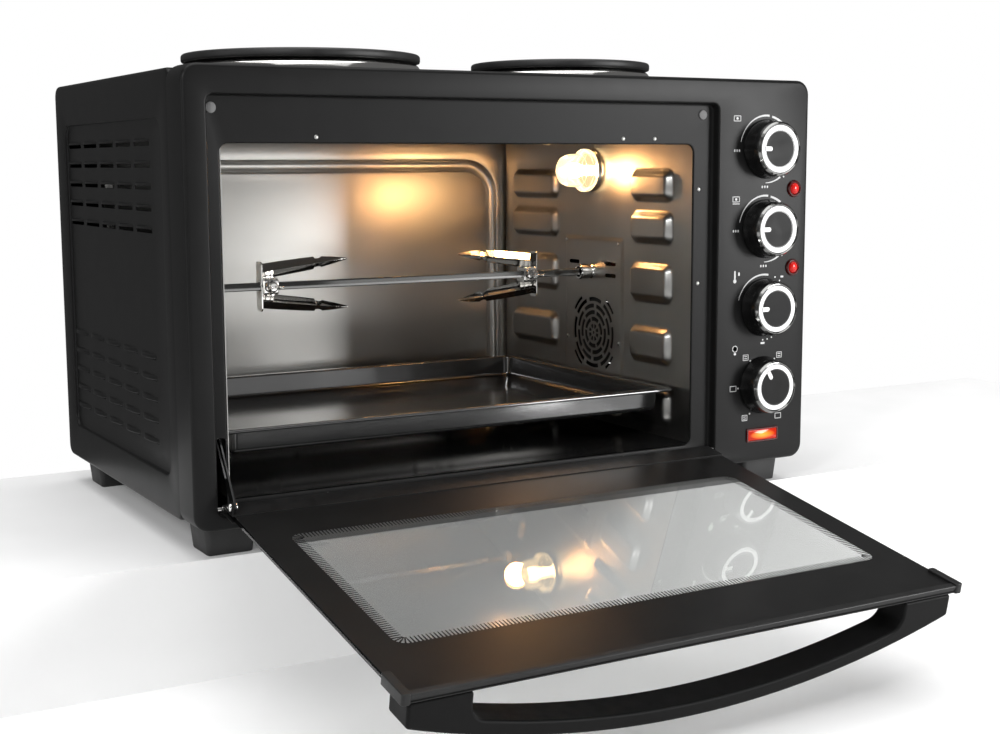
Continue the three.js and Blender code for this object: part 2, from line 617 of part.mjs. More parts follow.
// ---- door, drawn open and level: y = -s along the door, z = n out of its inner face -------------
function doorPieces() {
  const { left, right, length, inner, outer, glass, rail, heel } = DOOR;
  const middle = (inner + outer) / 2;
  const half = glass / 2;
  const lip = 0.7;
  const pane = box(left + lip + GAP, right - lip - GAP, -length + 2, -heel - 4, middle - half, middle + half);
  add('door_glass', pane, 'glass', door);

  const profile = polygon([
    [-length, outer], [-length + rail, outer], [-length + rail, outer + 0.6], [-length + 1.4, outer + 0.6],
    [-length + 1.4, inner - 0.6], [-length + rail, inner - 0.6], [-length + rail, inner], [-length, inner],
  ]);
  let top = alongX(profile, left, right);
  const { length: reach, width, proud, height } = CAP;
  const room = box(left + lip, right - lip, -length + 1.4, -length + reach + 1, middle - half - GAP,
    middle + half + GAP);
  for (const [x0, x1] of [[left - proud, left + width], [right - width, right + proud]]) {
    top = join(top, box(x0, x1, -length - proud, -length + reach, outer - GAP, inner + height));
  }
  top = cut(top, room);
  add('door_top_rail', top, 'blackPlastic', door);

  const pocket = box(left + lip, right - lip, -40, -heel - 3.7, middle - half - GAP, middle + half + GAP);
  const pinHole = rod(HINGE.pin + 0.15, left - 1, left + 9, 'x', 16);
  const earOuter = LINK.x - LINK.thick;
  const ear = join(
    box(earOuter, LINK.x - GAP, -LINK.s - 4, -LINK.s + 4, inner - 0.6, LINK.n),
    rod(4, earOuter, LINK.x - GAP, 'x', 16).translate([0, -LINK.s, LINK.n]),
  );
  const rivetHole = rod(1.9, LINK.x - 5, LINK.x + 5, 'x', 16).translate([0, -LINK.s, LINK.n]);
  const heelRail = cut(
    join(box(left, right, -20, -heel, outer, inner), ear),
    pocket, pinHole, pinHole.translate([right - left - 8, 0, 0]), rivetHole,
  );
  add('door_bottom_rail', heelRail, 'blackPlastic', door);
  for (const [name, x0, x1] of [
    ['hinge_pin_left', RECESS.left - 2.6, left + 7], ['hinge_pin_right', right - 7, RECESS.right + 2.6]]) {
    add(name, rod(HINGE.pin - 0.02, x0, x1, 'x', 16), 'chrome', door);
  }
  const rivet = join(
    rod(1.6, LINK.x - LINK.thick - GAP - 1, LINK.x + LINK.thick + GAP + 1, 'x', 12),
    rod(3, LINK.x - LINK.thick - GAP - 1.2, LINK.x - LINK.thick - GAP, 'x', 12),
    rod(3, LINK.x + LINK.thick + GAP, LINK.x + LINK.thick + GAP + 1.2, 'x', 12),
  );
  add('link_rivet', rivet.translate([0, -LINK.s, LINK.n]), 'chrome', door);
}

// A bow handle in one piece: a post at each end and a bar that bows out between them.
function handle() {
  const { centre, halfWidth: w, post, endDepth, bow, bar, back } = HANDLE;
  const radius = (w * w + bow * bow) / (2 * bow);
  const arcCentre = -endDepth - bow + radius;
  const seat = DOOR.outer - 0.6;
  const inner = w - post;
  const outerAngle = Math.asin(w / radius);
  const innerAngle = Math.asin(inner / (radius - bar));
  const shape = new THREE.Shape();
  shape.moveTo(centre - w, seat);
  shape.lineTo(centre - w, -endDepth);
  shape.absarc(centre, arcCentre, radius, 1.5 * Math.PI - outerAngle, 1.5 * Math.PI + outerAngle);
  shape.lineTo(centre + w, seat);
  shape.lineTo(centre + inner, seat);
  shape.absarc(centre, arcCentre, radius - bar, 1.5 * Math.PI + innerAngle, 1.5 * Math.PI - innerAngle, true);
  shape.lineTo(centre - inner, seat);
  const piece = alongY(shape, -DOOR.length + 0.5, -back, 1.5, 12);
  add('door_handle', piece, 'blackPlastic', door);
}

// A check link that hangs on the door's ear and runs up into the slot of the front frame.
function doorLink() {
  const { x, thick, s, n, rise, length, halfWidth } = LINK;
  const pivot = new THREE.Vector3(0, -s, n).applyAxisAngle(new THREE.Vector3(1, 0, 0), HINGE.tilt);
  const y = HINGE.y + pivot.y;
  const z = HINGE.z + pivot.z;
  const outline = new THREE.Shape();
  outline.moveTo(0, -halfWidth);
  outline.lineTo(length, -halfWidth - 2);
  outline.absarc(length, 0, halfWidth + 2, -Math.PI / 2, Math.PI / 2);
  outline.lineTo(0, halfWidth);
  outline.absarc(0, 0, halfWidth, Math.PI / 2, 1.5 * Math.PI);
  const bar = alongX(outline, x, x + thick);
  const track = box(x - 1, x + thick + 1, 22, length, -2, 2);
  const piece = cut(bar, track, rod(1.9, x - 1, x + thick + 1, 'x', 16));
  add('door_link', piece.rotate([THREE.MathUtils.radToDeg(rise), 0, 0]).translate([0, y, z]), 'brightSteel');
}

// ---- small fixed pieces ------------------------------------------------------------------------
function smallPieces() {
  const floor = RECESS.floor - GAP;
  for (const [name, x] of [['bumper_left', RECESS.left + 5.5], ['bumper_right', RECESS.right - 11]]) {
    const { radius: r, height } = BUMPER;
    const pad = turned([[0, -height], [r - 0.6, -height], [r, -height + 0.5], [r, 0], [0, 0]], 'y', 16);
    add(name, pad.translate([x, floor, BUMPER.z]), 'rubber');
  }
  const { shank, flange, nose, bore, reach } = GLAND;
  const gland = join(
    rod(shank, -6, 1, 'y', 20),
    turned([
      [bore, 0.5], [flange, 0.5], [flange, 3], [shank, 5], [nose, reach], [bore, reach], [bore, 0.5],
    ], 'y', 20),
  );
  add('cable_gland', gland.translate([GLAND.x, BODY.rear, GLAND.z]), 'blackPlastic');
}

frontFrame();
sidePanel('left_side_panel', -1);
sidePanel('right_side_panel', 1);
topCover();
backPanel();
basePlate();
cavity();
lamp();
drives();
spit();
for (const [name, [x, direction]] of Object.entries(FORKS)) fork(name, x, direction);
bakingTray();
controls();
hotplates();
foot('foot_front_left', -1, FOOT.front);
foot('foot_front_right', 1, FOOT.front);
foot('foot_rear_left', -1, FOOT.rear);
foot('foot_rear_right', 1, FOOT.rear);
smallPieces();
doorPieces();
handle();
doorLink();

const part = new THREE.Group();
part.add(oven);
export default part;
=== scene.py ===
"""Looks for the countertop rotisserie oven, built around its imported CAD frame.

Sizes are in millimetres in the oven's own frame: x from the middle of the front frame, y back from its
face, z up from the foot soles. at() turns such a point into the shared frame, in metres.
"""

import json
from math import asin, cos, hypot, pi, radians, sin, sqrt

import bmesh
import bpy
from mathutils import Matrix, Vector

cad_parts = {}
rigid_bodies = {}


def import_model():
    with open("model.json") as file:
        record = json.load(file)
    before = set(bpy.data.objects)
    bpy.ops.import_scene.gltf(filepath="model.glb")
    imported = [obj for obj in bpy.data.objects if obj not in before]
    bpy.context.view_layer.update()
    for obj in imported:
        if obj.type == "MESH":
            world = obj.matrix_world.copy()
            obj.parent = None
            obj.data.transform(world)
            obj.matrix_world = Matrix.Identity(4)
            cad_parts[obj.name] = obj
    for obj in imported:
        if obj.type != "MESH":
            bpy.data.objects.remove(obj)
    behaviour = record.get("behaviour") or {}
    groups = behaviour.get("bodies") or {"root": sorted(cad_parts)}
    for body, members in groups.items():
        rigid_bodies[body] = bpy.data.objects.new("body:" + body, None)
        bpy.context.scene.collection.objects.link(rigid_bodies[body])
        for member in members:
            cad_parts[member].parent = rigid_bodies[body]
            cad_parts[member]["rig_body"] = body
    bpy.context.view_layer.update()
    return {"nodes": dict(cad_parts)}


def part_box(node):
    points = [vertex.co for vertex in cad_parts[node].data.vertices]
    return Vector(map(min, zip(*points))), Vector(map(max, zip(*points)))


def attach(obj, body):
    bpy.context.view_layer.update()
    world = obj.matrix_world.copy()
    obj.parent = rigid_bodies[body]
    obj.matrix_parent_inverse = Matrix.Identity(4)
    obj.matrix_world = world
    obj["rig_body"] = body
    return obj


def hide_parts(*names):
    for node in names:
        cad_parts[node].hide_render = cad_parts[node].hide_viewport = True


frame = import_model()

MM = 0.001
front_lo, front_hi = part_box("front_frame")
OVEN = Vector(((front_lo.x + front_hi.x) / 2, front_lo.y, 0.0))


def at(x, y, z):
    """A point of the oven's own frame, in the shared frame in metres."""
    return OVEN + Vector((x, y, z)) * MM


def loose_object(name, data):
    obj = bpy.data.objects.new(name, data)
    bpy.context.scene.collection.objects.link(obj)
    return obj


# ---- camera ------------------------------------------------------------------------------------
CAMERA_AT, YAW, PITCH, ROLL, LENS = (-615.3, -1007.7, 281.2), 0.526, 0.1339, -0.0045, 54.26


def make_camera():
    ahead = Vector((sin(YAW) * cos(PITCH), cos(YAW) * cos(PITCH), -sin(PITCH)))
    side = Vector((cos(YAW), -sin(YAW), 0))
    up = side.cross(ahead)
    right = cos(ROLL) * side + sin(ROLL) * up
    over = cos(ROLL) * up - sin(ROLL) * side
    data = bpy.data.cameras.new("camera")
    data.lens = LENS
    camera = loose_object("camera", data)
    turn = Matrix((right, over, -ahead)).transposed().to_4x4()
    camera.matrix_world = Matrix.Translation(at(*CAMERA_AT)) @ turn
    bpy.context.scene.camera = camera


make_camera()


# ---- studio ------------------------------------------------------------------------------------
SEEN, AMBIENT = 1.0, 0.13
# name, place, what it points at, width and height in metres, watts
AREA_LIGHTS = (("softbox_right", (1160, -1300, 410), (230, 0, 260), (0.5, 0.6), 24),
               ("softbox_top", (-100, -200, 1700), (0, 150, 200), (1.6, 1.4), 5),
               ("softbox_left", (-1700, 200, 500), (-280, 150, 200), (0.8, 1.2), 4),
               ("spark_left", (-1250, -1000, 900), (-280, 150, 200), (0.22, 0.3), 9),
               ("card_front", (330, -1350, 40), (-100, 322, 180), (0.8, 0.8), 1.2))
GLOW_AT, GLOW_WATTS, GLOW_COLOUR, GLOW_RADIUS = (126, 166, 273), 0.34, (1, 0.47, 0.16), 12
SUN_STRENGTH, SUN_ANGLE = 2.3, 1.2


def link_to(node_tree, *pairs):
    for source, target in pairs:
        node_tree.links.new(source, target)


def make_world():
    """White where the camera looks past the oven, and a dimmer grey as a source of light."""
    world = bpy.data.worlds.new("studio")
    bpy.context.scene.world = world
    world.use_nodes = True
    tree = world.node_tree
    tree.nodes.clear()
    path, mix, out = [tree.nodes.new("ShaderNode" + kind)
                      for kind in ("LightPath", "MixShader", "OutputWorld")]
    for socket, strength in ((1, AMBIENT), (2, SEEN)):
        light = tree.nodes.new("ShaderNodeBackground")
        light.inputs["Color"].default_value = (1, 1, 1, 1)
        light.inputs["Strength"].default_value = strength
        link_to(tree, (light.outputs[0], mix.inputs[socket]))
    link_to(tree, (path.outputs["Is Camera Ray"], mix.inputs["Fac"]), (mix.outputs[0], out.inputs["Surface"]))


def make_lights():
    """Soft boxes round the oven, a warm point at its lamp, and an even light from overhead."""
    for name, place, target, size, watts in AREA_LIGHTS:
        data = bpy.data.lights.new(name, "AREA")
        data.shape = "RECTANGLE"
        data.size, data.size_y = size
        data.energy = watts
        light = loose_object(name, data)
        light.location = at(*place)
        light.rotation_euler = (at(*target) - at(*place)).to_track_quat("-Z", "Y").to_euler()
    glow = bpy.data.lights.new("lamp_glow", "POINT")
    glow.energy, glow.color, glow.shadow_soft_size = GLOW_WATTS, GLOW_COLOUR, GLOW_RADIUS * MM
    loose_object("lamp_glow", glow).location = at(*GLOW_AT)
    sun = bpy.data.lights.new("overhead", "SUN")
    sun.energy, sun.angle = SUN_STRENGTH, SUN_ANGLE
    loose_object("overhead", sun)


bpy.context.scene.view_settings.view_transform = "Standard"
make_world()
make_lights()


# ---- materials ---------------------------------------------------------------------------------
def principled(name, colour, roughness, metallic=0.0, **more):
    """A new material with its Principled shader; more names sockets, with _ for a space."""
    material = bpy.data.materials.new(name)
    material.use_nodes = True
    shader = material.node_tree.nodes["Principled BSDF"]
    shader.inputs["Base Color"].default_value = (*colour, 1)
    shader.inputs["Roughness"].default_value = roughness
    shader.inputs["Metallic"].default_value = metallic
    for socket, value in more.items():
        shader.inputs[socket.replace("_", " ")].default_value = value
    return material, material.node_tree, shader


def noise(tree, scale, detail):
    """A noise texture in the piece's own coordinates, scale in features per metre."""
    place = tree.nodes.new("ShaderNodeTexCoord")
    texture = tree.nodes.new("ShaderNodeTexNoise")
    texture.inputs["Scale"].default_value = scale
    texture.inputs["Detail"].default_value = detail
    link_to(tree, (place.outputs["Object"], texture.inputs["Vector"]))
    return texture.outputs["Fac"]


def ramp(tree, source, low, high, start=0.3, end=0.7):
    """Colours or greys between two values, as source goes from start to end."""
    node = tree.nodes.new("ShaderNodeValToRGB")
    for element, position, colour in zip(node.color_ramp.elements, (start, end), (low, high)):
        element.position = position
        element.color = (*colour, 1)
    link_to(tree, (source, node.inputs["Fac"]))
    return node.outputs["Color"]


def grained(name, shade, spread, roughness, rough_spread, grain, depth, metallic=0, ior=1.5, **more):
    """A finish whose colour, roughness and height vary, with grain features per metre depth mm high."""
    colour = shade if isinstance(shade, tuple) else (shade,) * 3
    material, tree, shader = principled(name, colour, roughness, metallic, IOR=ior, **more)
    broad = noise(tree, grain * 0.04, 4)
    low, high = [tuple(max(0.0, c + sign * spread) for c in colour) for sign in (-1, 1)]
    dull, bright = [(roughness + sign * rough_spread,) * 3 for sign in (-1, 1)]
    bump = tree.nodes.new("ShaderNodeBump")
    bump.inputs["Distance"].default_value = depth * MM
    link_to(tree, (ramp(tree, broad, low, high), shader.inputs["Base Color"]),
            (ramp(tree, broad, dull, bright), shader.inputs["Roughness"]),
            (noise(tree, grain, 2), bump.inputs["Height"]), (bump.outputs["Normal"], shader.inputs["Normal"]))
    return material


def glow_spot(name, colour, edge, core, strength, centre):
    """A lit lens: dim towards its edge, bright round a spot at centre, given in parts of its box."""
    material, tree, shader = principled(name, colour, 0.1, IOR=1.35, Emission_Strength=strength)
    place = tree.nodes.new("ShaderNodeTexCoord")
    mapping = tree.nodes.new("ShaderNodeMapping")
    mapping.inputs["Scale"].default_value = (2, 0, 2)
    mapping.inputs["Location"].default_value = (-2 * centre[0], 0, -2 * centre[1])
    gradient = tree.nodes.new("ShaderNodeTexGradient")
    gradient.gradient_type = "SPHERICAL"
    link_to(tree, (place.outputs["Generated"], mapping.inputs["Vector"]),
            (mapping.outputs["Vector"], gradient.inputs["Vector"]))
    spot = ramp(tree, gradient.outputs["Fac"], edge, core, 0.1, 0.85)
    link_to(tree, (spot, shader.inputs["Emission Color"]))
    return material


# shade, its spread, roughness, its spread, grain per metre, height of grain, metallic, IOR
GRAINED = {
    "black_paint": (0.009, 0.0006, 0.36, 0.012, 1400, 0.006, 0, 1.22),
    "black_plastic": (0.01, 0.002, 0.42, 0.06, 2600, 0.02, 0, 1.35),
    "handle_black": (0.006, 0.001, 0.5, 0.06, 2600, 0.03, 0, 1.18),
    "knob_black": (0.006, 0.001, 0.22, 0.03, 1800, 0.008),
    "knob_face": (0.012, 0.002, 0.38, 0.06, 1800, 0.01, 0, 1.18),
    "print_white": (0.62, 0.03, 0.5, 0.06, 1500, 0.01),
    "ring_white": (0.86, 0.02, 0.4, 0.06, 1500, 0.008),
    "satin_steel": ((0.52, 0.52, 0.50), 0.02, 0.3, 0.06, 900, 0.006, 1),
    "wall_steel": ((0.42, 0.415, 0.40), 0.012, 0.33, 0.02, 1200, 0.004, 1),
    "back_steel": ((0.5, 0.495, 0.475), 0.006, 0.35, 0.01, 1200, 0.002, 1),
    "heater_steel": ((0.36, 0.35, 0.34), 0.02, 0.3, 0.06, 900, 0.006, 1),
    "link_steel": (0.07, 0.02, 0.28, 0.06, 900, 0.004, 1),
    "chrome": ((0.78, 0.77, 0.75), 0.02, 0.12, 0.03, 300, 0.001, 1),
    "bright_chrome": ((0.84, 0.83, 0.81), 0.02, 0.09, 0.02, 300, 0.001, 1),
    # chrome darkened as painted shade, for the knob rims and the spit bar
    "chrome_painted_shade": ((0.22, 0.22, 0.215), 0.02, 0.12, 0.02, 300, 0.001, 1),
    "cast_iron": (0.016, 0.004, 0.5, 0.06, 1800, 0.03),
    "enamel": (0.01, 0.001, 0.14, 0.02, 300, 0.002, 0, 1.9),
    "rubber": (0.012, 0.002, 0.6, 0.06, 1500, 0.02),
    "grey_rubber": (0.16, 0.02, 0.7, 0.06, 1500, 0.03),
    "ceramic": ((0.7, 0.66, 0.58), 0.03, 0.6, 0.06, 900, 0.02),
    "glass_black": (0.008, 0.001, 0.34, 0.02, 900, 0.002, 0, 1.3),
    "red_bezel": ((0.06, 0.003, 0.002), 0.004, 0.2, 0.02, 900, 0.004),
}
FINISH = {name: grained(name, *values) for name, values in GRAINED.items()}
FINISH["door_glass"] = principled("door_glass", (0.62, 0.63, 0.62), 0.0, Transmission_Weight=1.0, IOR=1.5)[0]
FINISH["lamp_glass"] = principled("lamp_glass", (1, 0.97, 0.9), 0.03, Transmission_Weight=1.0, IOR=1.5,
                                  Emission_Color=(1, 0.72, 0.38, 1), Emission_Strength=0.55)[0]
FINISH["filament"] = principled("filament", (1, 0.9, 0.7), 0.12, Coat_Weight=0.5,
                                Emission_Color=(1, 0.62, 0.28, 1), Emission_Strength=30)[0]
FINISH["red_lens"] = glow_spot("red_lens", (0.3, 0.004, 0.003), (0.3, 0.003, 0.002), (1, 0.06, 0.05), 0.7,
                               (0.6, 0.6))
FINISH["amber_lens"] = glow_spot("amber_lens", (0.3, 0.012, 0.003), (0.16, 0.004, 0.001), (1, 0.3, 0.03), 1.9,
                                 (0.5, 0.5))

# the CAD nodes that are shown as they are
NODE_FINISH = {
    "black_paint": "base_plate",
    "satin_steel": "rotisserie_motor",
    "cast_iron": "fan_impeller fan_motor",
    "chrome": "hinge_pin_left hinge_pin_right",
    "ceramic": "control_unit_1 control_unit_2 control_unit_3 control_unit_4",
}
NODE_BEVEL = 0.3


def finish_nodes():
    """Materials and softened edges for the CAD nodes that stay in sight."""
    for finish, names in NODE_FINISH.items():
        for name in names.split():
            node = frame["nodes"][name]
            node.data.materials.clear()
            node.data.materials.append(FINISH[finish])
            soften(node, NODE_BEVEL, 2, 50)


# ---- mesh tools --------------------------------------------------------------------------------
HINGE_Y, HINGE_Z, DOOR_TILT = 3.0, 37.9, 0.1815


def on_door(x, y, z):
    """A point of the open door, in the shared frame: y runs against its length, z out of its inner face."""
    c, s = cos(DOOR_TILT), sin(DOOR_TILT)
    return at(x, HINGE_Y + y * c - z * s, HINGE_Z + y * s + z * c)


def arc_steps(count):
    return [pi / 2 * i / count for i in range(count + 1)]


def along(axis, a, b, h):
    """A point at a and b across an axis and h along it."""
    return {"x": (h, a, b), "y": (a, h, b), "z": (a, b, h)}[axis]


def rounded(a0, a1, b0, b1, r, steps=6, us=(), vs=()):
    """Points round a rectangle with round corners, with extra points at us and vs along its sides."""
    r = max(r, 0.0)
    across = [min(max(u, a0 + r), a1 - r) for u in us]
    up = [min(max(v, b0 + r), b1 - r) for v in vs]
    corners = ((a1 - r, b1 - r, 0), (a0 + r, b1 - r, 90), (a0 + r, b0 + r, 180), (a1 - r, b0 + r, 270))
    sides = ([(u, b1) for u in reversed(across)], [(a0, v) for v in reversed(up)],
             [(u, b0) for u in across], [(a1, v) for v in up])
    points = []
    for (ca, cb, start), side in zip(corners, sides):
        for i in range(steps + 1):
            t = radians(start + 90 * i / steps)
            points.append((ca + r * cos(t), cb + r * sin(t)))
        points += side
    return points


def skin(loops, closed=True, joined=False, caps=(), bm=None):
    """Quads between equal loops of points, in bm or a new mesh. joined closes the last loop onto the first;
    caps names loops to fill."""
    if bm is None:
        bm = bmesh.new()
    rows = [[bm.verts.new(p) for p in loop] for loop in loops]
    pairs = list(zip(rows, rows[1:]))
    if joined:
        pairs.append((rows[-1], rows[0]))
    count = len(rows[0])
    for low, high in pairs:
        for i in range(count if closed else count - 1):
            j = (i + 1) % count
            bm.faces.new((low[i], low[j], high[j], high[i]))
    for row in caps:
        bm.faces.new(rows[row])
    return bm


def grown(rect, d, h):
    """A station: a rectangle (a0, a1, b0, b1, r) grown by d on each side, at height h."""
    a0, a1, b0, b1, r = rect
    return (a0 - d, a1 + d, b0 - d, b1 + d, max(r + d, 0.01), h)


def bend(rect, d, h, across, up, count, flipped=False):
    """Stations round a quarter turn, which starts level with h or, if flipped, with d."""
    turns = [(1 - cos(t), 1 - sin(t)) for t in arc_steps(count)]
    return [grown(rect, d + across * (s if flipped else c), h + up * (c if flipped else s)) for c, s in turns]


def shell(stations, axis, steps=6, us=(), vs=(), least=0.0, **how):
    """A skin through stations of (a0, a1, b0, b1, r, height along axis); least is the smallest r used."""
    return skin([[along(axis, a, b, h) for a, b in rounded(a0, a1, b0, b1, max(r, least), steps, us, vs)]
                 for a0, a1, b0, b1, r, h in stations], **how)


def lathe(profile, axis, centre=(0, 0, 0), segments=48, joined=True, bm=None):
    """A profile of (radius, height) points turned about an axis through centre."""
    turns = [2 * pi * i / segments for i in range(segments)]
    loops = [[tuple(c + v for c, v in zip(centre, along(axis, r * cos(t), r * sin(t), h)))
              for t in turns] for r, h in profile]
    return skin(loops, joined=joined, bm=bm)


def bore(radius, start, end, axis, centre, segments, bm=None):
    """A round bar to cut a hole with."""
    return lathe([(0, start), (radius, start), (radius, end), (0, end)], axis, centre, segments, bm=bm)


def prism(outline, start, end, axis, bm=None):
    """An outline of (a, b) points made solid from start to end along axis."""
    return skin([[along(axis, a, b, h) for a, b in outline] for h in (start, end)], caps=(0, 1), bm=bm)


def block(x0, x1, y0, y1, z0, z1, bm=None):
    return prism([(x0, y0), (x1, y0), (x1, y1), (x0, y1)], z0, z1, "z", bm)


def domes(places, radius, height, axis, sign, segments=20):
    """Low round heads that stand on places, sign giving their side of them."""
    bm = bmesh.new()
    profile = [(radius * cos(t), sign * height * sin(t)) for t in arc_steps(5)]
    for place in places:
        lathe([(0, -sign * 0.3), (radius, -sign * 0.3), *profile], axis, place, segments, False, bm)
    return bm


def sheet_grid(point, us, vs, is_open=lambda *cell: False):
    """A grid of quads through point(u, v), without the cells that are open."""
    bm = bmesh.new()
    grid = [[bm.verts.new(point(u, v)) for u in us] for v in vs]
    for j in range(len(vs) - 1):
        for i in range(len(us) - 1):
            if not is_open(us[i], us[i + 1], vs[j], vs[j + 1]):
                bm.faces.new((grid[j][i], grid[j][i + 1], grid[j + 1][i + 1], grid[j + 1][i]))
    return bm


def finish_mesh(bm, place):
    bmesh.ops.remove_doubles(bm, verts=bm.verts, dist=1e-4)
    bmesh.ops.dissolve_degenerate(bm, edges=bm.edges, dist=1e-5)
    bmesh.ops.recalc_face_normals(bm, faces=bm.faces)
    for v in bm.verts:
        v.co = place(*v.co)
    data = bpy.data.meshes.new("mesh")
    bm.to_mesh(data)
    bm.free()
    return data


def carve(obj, cutter_bm, place):
    """Cuts a closed mesh out of obj, whose modifiers are made part of its mesh first."""
    cutter = loose_object("cutter", finish_mesh(cutter_bm, place))
    modifier = obj.modifiers.new("cut", "BOOLEAN")
    modifier.solver = "EXACT"
    modifier.object = cutter
    bpy.context.view_layer.update()
    shaped = bpy.data.meshes.new_from_object(obj.evaluated_get(bpy.context.evaluated_depsgraph_get()))
    obj.modifiers.clear()
    obj.data = shaped
    bpy.data.objects.remove(cutter)


def soften(obj, width, segments, degrees):
    """Rounds the edges that turn by more than degrees."""
    rounding = obj.modifiers.new("edges", "BEVEL")
    rounding.width = width * MM
    rounding.segments = segments
    rounding.limit_method = "ANGLE"
    rounding.angle_limit = radians(degrees)
    return rounding


def piece(name, bm, finish, node, main=False, place=at, bevel=0.0, segments=2, sharp=35, sheet=0.0,
          holes=None):
    """One visible piece: its mesh in mm, its finish, and the CAD node whose body it rides on. A main piece
    stands for that node."""
    obj = loose_object(name, finish_mesh(bm, place))
    if sheet:
        solid = obj.modifiers.new("sheet", "SOLIDIFY")
        solid.thickness = abs(sheet) * MM
        solid.offset = -1 if sheet > 0 else 1
        solid.use_even_offset = True
    if holes is not None:
        carve(obj, holes, place)
    if bevel:
        soften(obj, bevel, segments, 40).harden_normals = True
    for polygon in obj.data.polygons:
        polygon.use_smooth = True
    obj.data.set_sharp_from_angle(angle=radians(sharp))
    obj.data.materials.clear()
    obj.data.materials.append(FINISH[finish])
    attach(obj, frame["nodes"][node]["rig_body"])
    if main:
        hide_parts(node)


# ---- stage -------------------------------------------------------------------------------------
# name, x, y, top, depth
STAGE = (("floor", -1500, 1500, -1500, 620, -90, 40), ("worktop", -900, 900, 12, 380, 0, 90))


def make_stage():
    """A pale floor below the open door, and the worktop that the feet stand on."""
    finish = grained("pale_floor", 0.78, 0.01, 0.7, 0.06, 400, 0.01, Emission_Color=(1, 1, 1, 1),
                     Emission_Strength=0.12)
    for name, x0, x1, y0, y1, top, depth in STAGE:
        slab = loose_object(name, finish_mesh(block(x0, x1, y0, y1, top - depth, top), at))
        slab.data.materials.append(finish)


# ---- casing ------------------------------------------------------------------------------------
OUTER = (-280, 280, 22.4, 351, 12)
RECESS = (-262.2, 182, 32.5, 330, 5.4)
MOUTH = (-251, 162, 42.5, 296.5, 7)
FRAME_DEPTH, FRAME_ROUND, RECESS_FLOOR, FRAME_WALL = 32, 3, 8.3, 1.4
LINK_SLOT = (-259.6, -252.3, 36, 88)
LENS_X, LENS_Z = 264.3, {"indicator_lens_upper": 259, "indicator_lens_lower": 191}
POWER = (216.4, 251.2, 40, 52.4)
KNOB_X, KNOB_Z = 233, {"knob_1": 292.8, "knob_2": 225.2, "knob_3": 157.6, "knob_4": 90.0}
RIVETS = ((-177.7, 301), (90.9, 301), (122.2, 301), (-174.2, 38), (93.3, 38), (168, 259.3), (168, 180.5))


def front_frame():
    """The pressed front: a round outer edge, the door's sunk seat, and the mouth's rolled lip."""
    lip, fillet, roll = 1.6, 2.0, 1.2
    behind = RECESS_FLOOR + FRAME_WALL
    stations = [grown(OUTER, 0, FRAME_DEPTH), *bend(OUTER, 0, 0, -FRAME_ROUND, FRAME_ROUND, 5),
                *bend(RECESS, 0, 0, lip, lip, 4, True), *bend(RECESS, 0, RECESS_FLOOR, -fillet, -fillet, 4),
                *bend(MOUTH, 0, RECESS_FLOOR, roll, roll, 4, True), grown(MOUTH, 0, behind),
                grown(RECESS, FRAME_WALL, behind), grown(RECESS, FRAME_WALL, FRAME_WALL),
                grown(OUTER, -FRAME_WALL, FRAME_WALL), grown(OUTER, -FRAME_WALL, FRAME_DEPTH)]
    holes = prism(rounded(*LINK_SLOT, 2.4), RECESS_FLOOR - 2, behind + 1, "y")
    for z in LENS_Z.values():
        bore(6.4, -2, 4, "y", (LENS_X, 0, z), 32, holes)
    x0, x1, z0, z1 = POWER
    prism(rounded(x0 + 0.8, x1 - 0.8, z0 + 0.8, z1 - 0.8, 1.2), -2, 4, "y", holes)
    piece("front_pressing", shell(stations, "y", joined=True), "black_paint", "front_frame", True,
          holes=holes, sharp=40)
    heads = domes([(x, RECESS_FLOOR, z) for x, z in RIVETS], 1.7, 0.9, "y", -1)
    piece("mouth_rivets", heads, "satin_steel", "front_frame")
    screw = domes([(-246.5, RECESS_FLOOR, 37.2)], 3.0, 1.3, "y", -1, 24)
    slit = block(-248.6, -244.4, 6.4, 7.5, 36.8, 37.6)
    piece("seat_screw", screw, "satin_steel", "front_frame", holes=slit)


# ---- side panels -------------------------------------------------------------------------------
PANEL_X, PAN_DEPTH, FIELD_DEPTH, CASING_SHEET = 278.5, 11, 3, 0.7
PAN = (32.3, 349, 24, 349.6, 10)
FIELD = (54.5, 322, 54, 315, 12)
LOUVRE_Y = [109 + 47.4 * i for i in range(5)]
LOUVRE_LENGTH, LOUVRE_PROUD, LOUVRE_PITCH, LOUVRE_ROWS, LOUVRE_PEAK = 40, 2.8, 16.1, 5, 0.3
# lowest row, height of the hood and of the opening under it
LOUVRE_GROUPS = [(234, 2.3, 2.9), (74.3, 3.4, 0.5)]


def louvre_bands():
    """For each louvre row: the level of its opening's foot, its hood's free edge and its hood's root."""
    feet = [(lowest + row * LOUVRE_PITCH - (hood + gap) / 2, gap, hood)
            for lowest, hood, gap in LOUVRE_GROUPS for row in range(LOUVRE_ROWS)]
    return [(foot, foot + gap, foot + gap + hood) for foot, gap, hood in feet]


def louvre_height(y, z, bands):
    """How far a louvre's hood stands out at (y, z)."""
    centre = min(LOUVRE_Y, key=lambda c: abs(c - y))
    u = (y - centre) / (LOUVRE_LENGTH / 2)
    if abs(u) >= 1:
        return 0.0
    for _, edge, root in bands:
        if edge - 1e-6 <= z <= root + 1e-6:
            t = min(max((root - z) / (root - edge), 0), 1)
            w = (u - LOUVRE_PEAK) / (1 - LOUVRE_PEAK if u > LOUVRE_PEAK else 1 + LOUVRE_PEAK)
            return LOUVRE_PROUD * (1 - w * w) ** 1.1 * sqrt(t * (2 - t))
    return 0.0


